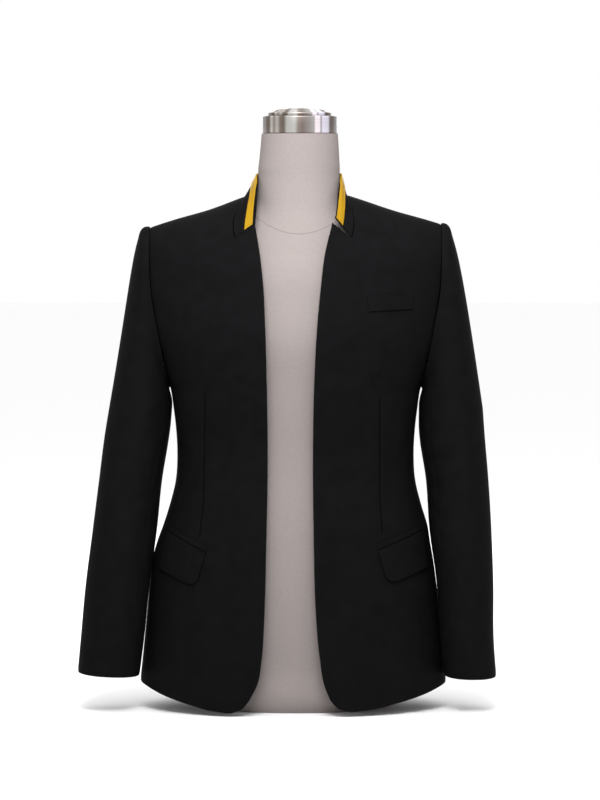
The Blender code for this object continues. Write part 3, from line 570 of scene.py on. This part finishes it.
def steel():
    """Bright turned steel, with a room's reflection painted into its colour as soft upright bands, and fine
    turning marks.
    """
    look = look_of("neck_plate", (0.42, 0.39, 0.38), 0.3, 0.55)
    x, y, _ = look.axes()
    turn = look.maths("ARCTAN2", look.minus(x, CAP_CENTRE_X), look.maths("ABSOLUTE", y))
    across = look.plus(look.times(look.maths("SINE", turn), 0.5), 0.5)
    marks = look.noise((20.0, 20.0, 1600.0), 1.0, 2.0)
    # painted reflection: the room's bands are laid on by the angle round the plate
    look.put(look.shader, {"Base Color": look.ramp(across, *BANDS),
                           "Roughness": look.spread(marks, 0.2, 0.8, 0.26, 0.34)})
    return look.owner


SUIT = suiting("suit_cloth")
# these two carry painted shade in their sewn lines
SUIT_FRONT = suiting("suit_cloth_front", "darts")
SUIT_COLLAR = suiting("suit_cloth_collar", "collar")
SATIN = satin()
LINEN = linen()
STEEL = steel()


# ---- where the panels lie: the source's own rules, at any place between its rows ----
SIDE_ROWS = 14
EDGE_COLUMNS = 3
FRONT_COLUMNS = 12
BACK_COLUMNS = 9
NECK_COLUMNS = 3
HEM_CROWD = 1.55
ROW_CROWD = 1.25
TOP_ROWS = 180 // ROW_TURN
NOTCH_ROW = 7
HEM_BLEND = 5  # rows over which the columns lean to the rounded hem
DART_SHARE = 0.24  # share of a front between its edge and its middle column
SIDE_TRIM = 0.0011
CENTRE_TRIM = 0.0009
RIDGE_TRIM = ROOF_LEVELS * 0.0046
TOP_LEVEL = ROOF_TOP - RIDGE_TRIM


def arm_level_at(row):
    """Armhole level of a row above the underarm."""
    return armhole_level(radians(180 - ROW_TURN * row))


ARM_NOTCH = arm_level_at(NOTCH_ROW)


def under_ridge(level):
    """An armhole level drawn in a little, so that the rows end at the shoulder seam."""
    return mix(UNDERARM, TOP_LEVEL, up_armhole(level))


def side_level(side, hem_angle, j):
    """Level of a row between the hem and the underarm."""
    return mix(smooth(HEM, WIDTH[side], hem_angle), UNDERARM, (j / SIDE_ROWS) ** ROW_CROWD)


def side_angle(level):
    return pi / 2 - max(SIDE_TRIM, armhole_angle(level))


def neck_place(side, along):
    z = smooth(NECKLINE, "z", along)
    x = side * smooth(NECKLINE, WIDTH[side], along)
    if along >= 0.999:
        return abs(angle_of(x, ridge(x))), TOP_LEVEL
    return abs(angle_of(x, z)), level_of(x, z)


def lap_angle(side, level):
    """Ring angle of the front edge at a level."""
    def at(z):
        return abs(angle_of(side * smooth(FRONT_EDGE, WIDTH[side], z), z))

    angle = at(level)
    return at(body(side * angle, level).z) if level > ROOF_START else angle


def front_ends(side):
    """Notch angle and level, level of the front's top corner, ring angle of its lowest one."""
    peak_x = smooth(FRONT_EDGE, WIDTH[side], PEAK_Z[side])
    edge_angle = degrees(lap_angle(side, HEM[0].right))
    return (*neck_place(side, 0.0), level_of(side * peak_x, PEAK_Z[side]), edge_angle)


ENDS = {side: front_ends(side) for side in SIDES}


def front_place(side, i, j):
    """(angle, level) of a front at column i from its edge and row j from its hem."""
    notch_angle, notch_level, peak_level, edge_angle = ENDS[side]
    in_edge = i <= EDGE_COLUMNS
    share = i / EDGE_COLUMNS if in_edge else (i - EDGE_COLUMNS) / (FRONT_COLUMNS - EDGE_COLUMNS)
    crowd = (i / FRONT_COLUMNS) ** HEM_CROWD
    top = mix(peak_level, notch_level, share) if in_edge else mix(notch_level, ARM_NOTCH, share)
    up = j - SIDE_ROWS
    if up <= 0:
        level = side_level(side, mix(HEM[0].at, 90.0, crowd), j)
        flank = side_angle(level)
    else:
        arm_level = arm_level_at(up)
        flank = side_angle(arm_level)
        if up <= NOTCH_ROW:
            level = mix(UNDERARM, top, (arm_level - UNDERARM) / (ARM_NOTCH - UNDERARM))
        else:
            reach = (arm_level - ARM_NOTCH) / (ROOF_TOP - ARM_NOTCH)
            middle, neck_level = neck_place(side, reach)
            level = mix(neck_level, under_ridge(arm_level), 0 if in_edge else share)
    lap = lap_angle(side, level)
    if up <= NOTCH_ROW:
        rise = max(0.0, up / NOTCH_ROW)
        middle = mix(lap, flank, mix(DART_SHARE, (notch_angle - lap) / (flank - lap), rise ** 2))
    angle = mix(lap, middle, share) if in_edge else mix(middle, flank, share)
    if j < HEM_BLEND:
        t = j / HEM_BLEND
        lean = (1 - t ** 2 * (3 - 2 * t)) * (1 if j == 0 else min(1.0, i))
        angle = mix(angle, radians(mix(edge_angle, 90.0, crowd)), lean)
    return side * min(angle, pi / 2 - SIDE_TRIM), level


def back_place(side, i, j):
    """(angle, level) of a back at column i from its centre seam and row j from its hem."""
    up = j - SIDE_ROWS
    if up <= 0:
        level = side_level(side, mix(180.0, 90.0, i / BACK_COLUMNS), j)
        flank = pi / 2 + SIDE_TRIM
    else:
        level = arm_level_at(up)
        flank = pi - side_angle(level)
    neck_ridge = ridge(side * BACK_NECK_X)
    neck = pi - abs(angle_of(side * BACK_NECK_X, neck_ridge))
    centre = pi - CENTRE_TRIM
    rise = max(0.0, up / TOP_ROWS)
    middle = mix(mix(centre, flank, NECK_COLUMNS / BACK_COLUMNS), neck, rise ** 2)
    top = TOP_LEVEL
    if i < NECK_COLUMNS:
        share = 1 - (1 - i / NECK_COLUMNS) ** 1.7
        top = min(top, level_of(side * BACK_NECK_X * share, mix(BACK_NECK_Z, neck_ridge, share ** 6)))
        angle = mix(centre, middle, share)
    else:
        angle = mix(middle, flank, (i - NECK_COLUMNS) / (BACK_COLUMNS - NECK_COLUMNS))
    if up > 0:
        level = under_ridge(level) - (TOP_LEVEL - top) * up_armhole(level) ** 6
    return side * angle, level


def panel_grid(place, side, columns, fine):
    """Points of a panel. Fine is how many columns and rows stand for each of the source's."""
    rows = (SIDE_ROWS + TOP_ROWS) * fine + 1
    return np.array([[tuple(body(*place(side, i / fine, j / fine))) for j in range(rows)]
                     for i in range(columns * fine + 1)])


# ---- soft form of the cloth ----
def folds(points, rows, place):
    """Soft troughs (depth under 0) and ridges along a table's lines, each fading at both ends.
    Place turns (angle, height) into a point."""
    total = np.zeros(points.shape[:2])
    for turn1, z1, turn2, z2, width, depth in rows:
        start = np.array(place(radians(turn1), z1))
        run = np.array(place(radians(turn2), z2)) - start
        share = ((points - start) @ run) / (run @ run)
        near = start + np.clip(share, 0, 1)[..., None] * run
        away = np.linalg.norm(points - near, axis=-1)
        ends = np.clip(np.minimum(share, 1 - share) * 4 + 0.35, 0, 1)
        total += depth * np.exp(-(away / width) ** 2) * ends
    return total


SEAM_REACH = 0.00014  # so no light passes between two sewn pieces


def meet(grid, axis, end):
    """Let a sewn edge reach almost to its seam line."""
    rows = grid if axis == 0 else grid.swapaxes(0, 1)
    edge, near = (-1, -2) if end else (0, 1)
    rows[edge] += unit(rows[edge] - rows[near]) * SEAM_REACH


def dart_relief(points, dart, width=0.0016, depth=0.0007, dimple=0.001):
    """The sewn line of a waist dart and a dimple at its tip."""
    x = points[..., 0]
    z = points[..., 2]
    line = np.interp(z, (dart.z_low, dart.z_waist, dart.z_tip), (dart.x_low, dart.x_waist, dart.x_tip))
    inside = np.clip((dart.z_tip - z) / 0.025, 0, 1) * np.clip((z - dart.z_low) / 0.004, 0, 1)
    tip = np.hypot(x - dart.x_tip, (z - dart.z_tip) / 1.8)
    return -depth * np.exp(-((x - line) / width) ** 2) * inside - dimple * np.exp(-(tip / 0.012) ** 2)


# soft lines: from one turn (degrees round the piece) and height to another, width, depth
FRONT_FOLDS = {
    -1: [
        (78, .475, 58, .44, .01, -.001), (83, .44, 66, .405, .009, -.0007),
        (82, .33, 62, .346, .01, -.0006), (86, .3, 66, .29, .009, -.0006), (60, .16, 56, .05, .02, -.0008),
        (58, .6, 63, .52, .014, -.0009), (24, .5, 44, .488, .022, .0006),
    ],
    1: [
        (80, .47, 60, .447, .01, -.0009), (84, .43, 68, .412, .009, -.0008),
        (84, .345, 64, .352, .01, -.0007), (85, .31, 70, .298, .009, -.0005),
        (64, .15, 61, .05, .02, -.0009), (60, .59, 66, .515, .014, -.001),
        (26, .492, 42, .484, .022, .0006),
    ],
}
BACK_FOLDS = {
    -1: [
        (118, .57, 112, .46, .016, -.0026), (172, .63, 150, .621, .01, -.0008),
        (140, .34, 166, .326, .012, -.0016), (122, .302, 150, .313, .011, -.0013),
        (100, .362, 118, .336, .01, -.0014), (150, .2, 146, .06, .022, .0019),
        (120, .18, 124, .05, .02, -.0016),
    ],
    1: [
        (116, .56, 111, .47, .016, -.0022), (174, .628, 152, .616, .01, -.0007),
        (136, .346, 168, .33, .012, -.0018), (118, .31, 146, .306, .011, -.0011),
        (102, .35, 120, .328, .01, -.0016), (148, .19, 150, .06, .022, .0016),
        (124, .19, 119, .055, .02, -.0018),
    ],
}
SLEEVE_FOLDS = {
    -1: [
        (152, .288, 100, .272, .009, -.0018), (166, .262, 120, .24, .009, -.0014),
        (142, .312, 95, .32, .01, -.0011), (235, .29, 285, .272, .02, .0016),
        (110, .392, 145, .37, .011, -.0016), (132, .122, 80, .102, .01, -.001),
        (180, .36, 180, .44, .016, .0005),
    ],
    1: [
        (150, .296, 96, .286, .009, -.0016), (162, .27, 116, .246, .009, -.0016),
        (146, .322, 92, .332, .01, -.001), (240, .3, 290, .276, .02, .0014),
        (104, .394, 140, .376, .011, -.0014), (128, .132, 84, .116, .01, -.001),
        (180, .36, 180, .44, .016, .0005),
    ],
}
# edges of a piece: axis and end of the grid, how deep and wide they are drawn in, whether sewn
PRESSED = (0.0005, 0.003, False)
LONG_SEAM = (0.0005, 0.0025, True)
SHOULDER_SEAM = (0.0006, 0.003, True)
SLEEVE_SEAM = (0.0002, 0.002, True)
ARMHOLE_SEAM = (0.0, 1.0, True)
FRONT_RIMS = ((0, 0, *PRESSED), (1, 0, *PRESSED), (0, 1, *LONG_SEAM), (1, 1, *SHOULDER_SEAM))
BACK_RIMS = ((1, 0, *PRESSED), (0, 0, *LONG_SEAM), (0, 1, *LONG_SEAM), (1, 1, *SHOULDER_SEAM))
SLEEVE_RIMS = ((1, 1, *PRESSED), (0, 0, *SLEEVE_SEAM), (0, 1, *SLEEVE_SEAM), (1, 0, *ARMHOLE_SEAM))


def cloth_piece(node, mat, base, turn, relief, rims, first=None, **how):
    """A cloth wall on the source's points, with its relief and rims. Turn is the grid's own way
    round. First is the outward direction of its first row, where it isn't the grid's own."""
    normals = grid_normals(base, turn)
    if first is not None:
        normals[:, 0] = first
    for axis, end, depth, width, _ in rims:
        relief = relief - depth * np.exp(-(run_in(base, axis, end) / width) ** 2)
    outer = base + normals * relief[..., None]
    inner = outer - normals * CLOTH
    for grid in (outer, inner):
        for axis, end, _, _, sewn in rims:
            if sewn:
                meet(grid, axis, end)
    finish_piece(shell("blazer_" + node, outer, inner, turn < 0, **how), mat, node)


# ---- fronts and backs ----
FINE = 9
FINE_BACK = 7
kept = np.ones((FRONT_COLUMNS * FINE, (SIDE_ROWS + TOP_ROWS) * FINE), bool)
kept[:EDGE_COLUMNS * FINE, (SIDE_ROWS + NOTCH_ROW) * FINE:] = False
for side in SIDES:
    points = panel_grid(front_place, side, FRONT_COLUMNS, FINE)
    relief = folds(points, FRONT_FOLDS[side], lambda turn, z: body(side * turn, z))
    relief += dart_relief(points, DARTS[side])
    cloth_piece("front_" + WIDTH[side], SUIT_FRONT, points, side, relief, FRONT_RIMS, kept=kept, rim=0.0009)
for side in SIDES:
    points = panel_grid(back_place, side, BACK_COLUMNS, FINE_BACK)
    relief = folds(points, BACK_FOLDS[side], lambda turn, z: body(side * turn, z))
    cloth_piece("back_" + WIDTH[side], SUIT, points, -side, relief, BACK_RIMS)


# ---- sleeves ----
CAP_ROWS = 8
ARM_ROWS = 9
SLEEVE_FINE = 8
SLEEVE_STEP = 3  # degrees between two fine columns
SLEEVE_TRIM = 0.0042
SLEEVE_HEAD_LIFT = radians(25)  # how steeply it leaves the armhole at the top
UNDERARM_LIFT = radians(42)  # and how much more at its side, twice this underneath
HEAD_REACH = (0.006, 0.018)  # how far it holds that way, at the underarm and at the top
HEAD_CROWD = 0.35  # its rows crowd this much toward the armhole seam
HEAD_FALL = (0.8, 0.012)  # how far the arm's own line reaches up into the head
ARMHOLE_MIDDLE = (0.178, 0.0, 0.53)
ROPING = (0.002, 0.01, 0.01)  # fullness of the head: height, place, width


def sleeve_ring(side, theta, z):
    x, y, wide, deep, n = (smooth(SLEEVE[side], field, z) for field in Arm._fields[1:])
    x += wide * power(cos(theta), 2 / n)
    return Vector((side * x, y - deep * power(sin(theta), 2 / n), z))


def armhole_frame(side, theta):
    """The armhole point, the body's outward normal there, and the way into the hole."""
    place = armhole(side, theta)
    point = body(*place)
    normal = body_normal(*place)
    before = body(*armhole(side, theta - 0.02))
    after = body(*armhole(side, theta + 0.02))
    into = (after - before).cross(normal).normalized()
    centre = Vector((side * ARMHOLE_MIDDLE[0], *ARMHOLE_MIDDLE[1:]))
    return point, normal, -into if into.dot(centre - point) < 0 else into


def sleeve_line(side, theta):
    """Points down the sleeve at one place round it, and the inward direction at its head."""
    point, normal, into = armhole_frame(side, theta)
    leave = SLEEVE_HEAD_LIFT + UNDERARM_LIFT * (1 - cos(theta))
    out = into * cos(leave) + normal * sin(leave)
    inward = into * sin(leave) - normal * cos(leave)
    start = point + (into * cos(leave / 2) + normal * sin(leave / 2)) * SEAM_GAP * 1.2
    top = SLEEVE[side][-1].z
    cuff = SLEEVE[side][0].z + CUFF_LIFT[side] + CUFF_SLANT[side] * cos(theta)
    full = sleeve_ring(side, theta, top)
    below = sleeve_ring(side, theta, SLEEVE[side][-2].z)
    first = start + out * mix(*HEAD_REACH, sqrt(max(0.0, (1 + cos(theta)) / 2)))
    second = full + (full - below).normalized() * HEAD_FALL[0] * max(HEAD_FALL[1], first.z - full.z)
    outward = side * max(0.0, cos(theta))
    first.x -= outward * HEAD_TRIM[side][0]
    second.x -= outward * HEAD_TRIM[side][1]
    column = []
    for k in range((CAP_ROWS + ARM_ROWS) * SLEEVE_FINE + 1):
        row = k / SLEEVE_FINE
        if row < CAP_ROWS:
            t = row / CAP_ROWS
            t = mix(t, t * t, HEAD_CROWD)
            point = (start * (1 - t) ** 3 + first * 3 * t * (1 - t) ** 2
                     + second * 3 * t * t * (1 - t) + full * t ** 3)
        else:
            point = sleeve_ring(side, theta, mix(top, cuff, (row - CAP_ROWS) / ARM_ROWS))
        column.append(tuple(point))
    return column, tuple(inward)


low, high = SLEEVE_TOP_SEAMS
for side in SIDES:
    for piece, start, end in (("sleeve_top_", low, high), ("sleeve_under_", high, low + 360)):
        count = round((end - start) / SLEEVE_STEP)
        thetas = np.radians([mix(start, end, k / count) for k in range(count + 1)])
        thetas[[0, -1]] += (SLEEVE_TRIM, -SLEEVE_TRIM)
        points, inward = (np.array(part) for part in zip(*(sleeve_line(side, t) for t in thetas)))
        height, place, width = ROPING
        crown = height * np.clip(np.cos(thetas), 0, 1)[:, None]
        relief = crown * np.exp(-((run_in(points, 1, 0) - place) / width) ** 2)
        relief += folds(points, SLEEVE_FOLDS[side], lambda turn, z: sleeve_ring(side, turn, z))
        cloth_piece(piece + WIDTH[side], SUIT, points, side, relief, SLEEVE_RIMS, unit(-inward))


# ---- form ----
def lathe(name, rings):
    """A closed solid through rings of points, flat at both ends."""
    steps = len(rings[0])
    points = [p for ring in rings for p in ring]
    faces = [tuple(range(steps))[::-1]]
    for r in range(len(rings) - 1):
        for k in range(steps):
            a, b = r * steps + k, r * steps + (k + 1) % steps
            faces.append((a, b, b + steps, a + steps))
    faces.append(tuple((len(rings) - 1) * steps + k for k in range(steps)))
    obj = make_mesh(name, points, faces)
    obj.data.set_sharp_from_angle(angle=radians(40))
    return obj


FORM_LEVELS = (
    0, .007, .025, .06, .105, .15, .193, .236, .28, .325, .372, .422, .46, .497, .53, .56, .58, .597,
    .61, .621, .63, .636, .641, .646, .652, .66, .668, .673, .678, .684, .69, .7015, .7077, .7195,
    .7353, .7548,
)
FORM_FINE = 4
FORM_TURN = 120
levels = [mix(a, b, part / FORM_FINE) for a, b in zip(FORM_LEVELS, FORM_LEVELS[1:])
          for part in range(FORM_FINE)]
turns = [2 * pi * k / FORM_TURN for k in range(FORM_TURN)]
torso = lathe("torso", [[form_point(turn, z) for turn in turns] for z in (*levels, FORM_LEVELS[-1])])
finish_piece(torso, LINEN, "form_body")


def disc(name, rows, steps=128):
    """A round solid from (radius, z) rows."""
    turn = [2 * pi * k / steps for k in range(steps)]
    return lathe(name, [[(CAP_CENTRE_X + r * cos(t), r * sin(t), z) for t in turn] for r, z in rows])


def rounded(radius, low, high, edge, steps=4):
    """(radius, z) rows of an upright band with rounded lips."""
    turn = [pi / 2 * k / steps for k in range(steps + 1)]
    lip = [(edge * (1 - sin(t)), edge * (1 - cos(t))) for t in turn]
    return [(radius - a, low + b) for a, b in lip] + [(radius - b, high - a) for a, b in lip]


finish_piece(disc("neck_ring", rounded(*CAP_RING, 0.0014)), STEEL, "form_cap_ring")
radius, bottom, top = CAP_DOME
DOME_LIP = 0.0046  # height of the dome's upright step
DOME_STEPS = 14
step_top = bottom + DOME_LIP
dome_rows = rounded(radius, bottom, step_top, 0.0016)
for k in range(1, DOME_STEPS + 1):
    turn = k / DOME_STEPS * pi / 2
    dome_rows.append((radius - 0.005 - 0.026 * (1 - cos(turn)) - 0.001 * k / DOME_STEPS,
                      step_top + (top - step_top) * sin(turn)))
finish_piece(disc("neck_dome", dome_rows), STEEL, "form_cap_dome")


# ---- collar ----
SHOULDER_AT = 0.52  # shoulder seam's place along the collar, notch 0, centre back 1
FOOT_LIFT = 0.00027  # how far the collar's foot stands off the neckline
SHOULDER_DIP = 0.0014  # it presses lower where the neckline bends at the shoulder seam
SHOULDER_BEND = 0.035  # the sharp bend's length before that seam, and its steps
BEND_STEPS = 14
COLLAR_FINE = 90
TOP_THIN = 0.55  # the collar presses thinner toward its top edge
FOLD_TURN = 0.0011  # the ribbon's fold over the collar's top edge, and its steps
FOLD_STEPS = 7


def neckline_seat(side, along):
    """The cut neckline at a place along the collar, and the body's normal there."""
    if along <= SHOULDER_AT:
        level = mix(ARM_NOTCH, ROOF_TOP, along / SHOULDER_AT)
        share = max(-1.0, min(1.0, 2 * up_armhole(level) - 1))
        row = (180 - degrees(acos(share))) / ROW_TURN
        place = front_place(side, EDGE_COLUMNS, SIDE_ROWS + row)
    else:
        k = NECK_COLUMNS * (1 - (along - SHOULDER_AT) / (1 - SHOULDER_AT))
        place = back_place(side, k, SIDE_ROWS + TOP_ROWS)
    return body(*place), body_normal(*place)


def collar_line(side, along):
    """Lower and upper points of the collar's outer face at a place along it."""
    low, normal = neckline_seat(side, max(along, COLLAR_START[side]))
    x, y, z = (smooth(COLLAR_TOP, field, along) for field in (WIDTH[side], "y", "z"))
    if side > 0:
        z += END_LIFT * max(0.0, 1 - along / 0.15) ** 2
    high = Vector((side * x, y, z))
    dip = SHOULDER_DIP * exp(-((along - SHOULDER_AT + 0.01) / 0.022) ** 2)
    return low + ((high - low).normalized() + normal * 0.8) * (FOOT_LIFT - dip), high


bend = [SHOULDER_AT - SHOULDER_BEND * (k / BEND_STEPS) ** 2 for k in range(BEND_STEPS)]
even = [k / COLLAR_FINE for k in range(COLLAR_FINE + 1)]
stations = sorted(bend + [at for at in even if not SHOULDER_AT - SHOULDER_BEND < at < SHOULDER_AT + 0.001])
COLLAR_PLACES = [(-1, at) for at in stations] + [(1, at) for at in stations[-2::-1]]
COLLAR_LINES = [collar_line(*place) for place in COLLAR_PLACES]


def ribbon_edge(end):
    """Shares of the collar's height where the ribbon starts (low) or ends (high)."""
    return np.array([smooth(RIBBON_EDGES, f"{WIDTH[side]}_{end}", at) for side, at in COLLAR_PLACES])


def collar_strip(shares, out, thickness, ends=0.0, crown=0.0, fold=None):
    """Grids of the collar strip at shares of its height, moved out, trimmed at its ends. A share
    has a number for each place along the collar. Fold says how far the strip wraps over."""
    lines = np.array([[tuple(low), tuple(high)] for low, high in COLLAR_LINES])
    lines[[0, -1]] += (lines[[1, -2]] - lines[[0, -1]]) * ends
    low, high = lines[:, 0], lines[:, 1]
    normals = unit(np.cross(np.gradient(low + high, axis=0), high - low))
    middle = (low + high) / 2 - np.array([CAP_CENTRE_X * 0.5, 0.0, 0.67])
    normals *= np.sign((normals[:, :2] * middle[:, :2]).sum(axis=1))[:, None]
    outer = []
    inner = []
    for k, share in enumerate(shares):
        up = k / (len(shares) - 1)
        place = mix(low, high, share[:, None]) + normals * (out + crown * sin(pi * up))
        outer.append(place)
        inner.append(place - normals * thickness * (1.0 if crown else mix(1.0, TOP_THIN, up ** 2)))
    if fold is not None:
        turn = (0.0004 + FOLD_TURN * fold)[:, None]
        centre = outer[-1] - normals * turn
        for step in range(1, FOLD_STEPS):
            angle = pi * step / FOLD_STEPS
            way = normals * cos(angle) + unit(high - low) * sin(angle)
            outer.append(centre + way * turn)
            inner.append(centre + way * (turn - thickness))
    return np.stack(outer, axis=1), np.stack(inner, axis=1)


stand_shares = [np.full(len(COLLAR_PLACES), k / 24) for k in range(25)]
stand = shell("blazer_collar", *collar_strip(stand_shares, 0.0, TRIM), True, rim=0.0008)
finish_piece(stand, SUIT_COLLAR, "collar_stand")
low, high = ribbon_edge("low"), ribbon_edge("high")
fold = np.clip((high - 0.955) / 0.035, 0, 1)
shares = [mix(low, high, k / 10) for k in range(11)]
strip = collar_strip(shares, SEAM_GAP * 1.5 + RIBBON, RIBBON, 0.8, 0.0002, fold)
ribbon = shell("collar_ribbon", *strip, True, rim=0.0003)
finish_piece(ribbon, SATIN, "collar_band")


# ---- pockets ----
LAY = 0.0004  # how far the sewn-on pieces stand off the fronts


def patch_shell(name, patch, columns, rows, thickness, corner, lift):
    """A piece lying on a front, made from the front's own points moved out."""
    side = patch[0]
    corners = np.array(patch[1:]).reshape(4, 2)
    panel = PIECES["front_" + WIDTH[side]].data
    cloth = BVHTree.FromPolygons([v.co for v in panel.vertices], [tuple(p.vertices) for p in panel.polygons])
    outer = np.zeros((columns + 1, rows + 1, 3))
    inner = np.zeros((columns + 1, rows + 1, 3))
    for i in range(columns + 1):
        share = (i / columns) ** (1.5 if corner else 1)
        top = mix(corners[0], corners[1], share)
        low = mix(corners[2], corners[3], share)
        along = low[0] - corners[2][0]
        short = corner - sqrt(max(0.0, corner ** 2 - max(0.0, corner - along) ** 2))
        short /= dist(top, low)
        for j in range(rows + 1):
            x, z = mix(top, mix(low, top, short), j / rows)
            angle = angle_of(side * x, z)
            normal = body_normal(angle, z)
            point = cloth.ray_cast(body(angle, z) + normal * 0.01, -normal)[0]
            raised = LAY + lift * (j / rows) ** 2
            outer[i, j] = point + normal * (raised + thickness)
            inner[i, j] = point + normal * raised
    return shell(name, outer, inner, side > 0, rim=0.0004)


SEWN_ON = (  # its patches, columns, rows, wall, round corner, lift, cut and flat area
    ("pocket_flap", FLAPS, 60, 30, CLOTH, FLAP_ROUND, 0.0006, (0.07, 0.064), 0.0037),
    ("pocket_jet", JETS, 48, 6, TRIM, 0.0, 0.0, (0.062, 0.012), 0.0006),
    ("chest_welt", [WELT], 48, 16, TRIM, 0.0, 0.0, (0.064, 0.026), 0.0014),
)
for kind, patches, columns, rows, wall, corner, lift, cut, area in SEWN_ON:
    for patch in patches:
        word = WIDTH[patch[0]]
        end = "_" + word if len(patches) > 1 else ""
        piece = patch_shell(kind + "_cloth" + end, patch, columns, rows, wall, corner, lift)
        finish_piece(piece, SUIT, kind + end)


# ---- studio ----
bpy.ops.mesh.primitive_plane_add(size=30)
floor = bpy.context.object
floor.name = "floor"
floor.data.materials.append(look_of("floor_white", (0.97, 0.97, 0.97), 0.9).owner)


def softbox(name, place, aim_z, size, power_w, spread=180):
    """A square light aimed at a height on the form's middle line."""
    light = bpy.data.lights.new(name, "AREA")
    light.shape = "RECTANGLE"
    light.size = light.size_y = size
    light.energy = power_w
    light.spread = radians(spread)
    obj = make_object(name, light)
    obj.location = place
    obj.rotation_euler = (Vector((0, 0, aim_z)) - Vector(place)).to_track_quat("-Z", "Y").to_euler()
    obj.visible_camera = False


softbox("key", (-0.05, -1.2, 1.6), 0.64, 0.8, 5.5, spread=60)
softbox("fill", (0.7, -1.4, 1.7), 0.55, 1.0, 3)
softbox("top", (0.0, -0.2, 2.6), 0.5, 1.6, 7)
for side in SIDES:
    softbox("back_" + WIDTH[side], (side * 0.5, 2.2, 1.1), 0.4, 1.0, 9)

SKY_LOW = 0.34  # light from the horizon, and how much more comes from overhead
SKY_TOP = 1.02
scene = bpy.context.scene
scene.world = bpy.data.worlds.new("studio")
white = (1, 1, 1, 1)
sky = Look(scene.world, "Background", {"Color": white})
height = sky.maths("MAXIMUM", sky.axes("Generated")[2], 0.0)
sky.put(sky.shader, {"Strength": sky.maths("MULTIPLY_ADD", height, SKY_TOP, SKY_LOW)})
seen = sky.add("Background", {"Color": white, "Strength": 1.0})[0]
camera_ray = sky.add("LightPath", {})["Is Camera Ray"]
pick = sky.add("MixShader", {"Fac": camera_ray, 1: sky.shader.outputs[0], 2: seen})[0]
sky.put(sky.tree.nodes["World Output"], {"Surface": pick})

scene.view_settings.view_transform = "Standard"
scene.view_settings.look = "None"
camera = bpy.data.cameras.new("camera")
camera.lens = 170.7
camera.sensor_width = 36
camera.clip_end = 100
scene.camera = make_object("camera", camera)
scene.camera.location = (0.0059, -4.9907, 0.7097)
scene.camera.rotation_euler = (radians(86.5), 0, 0)
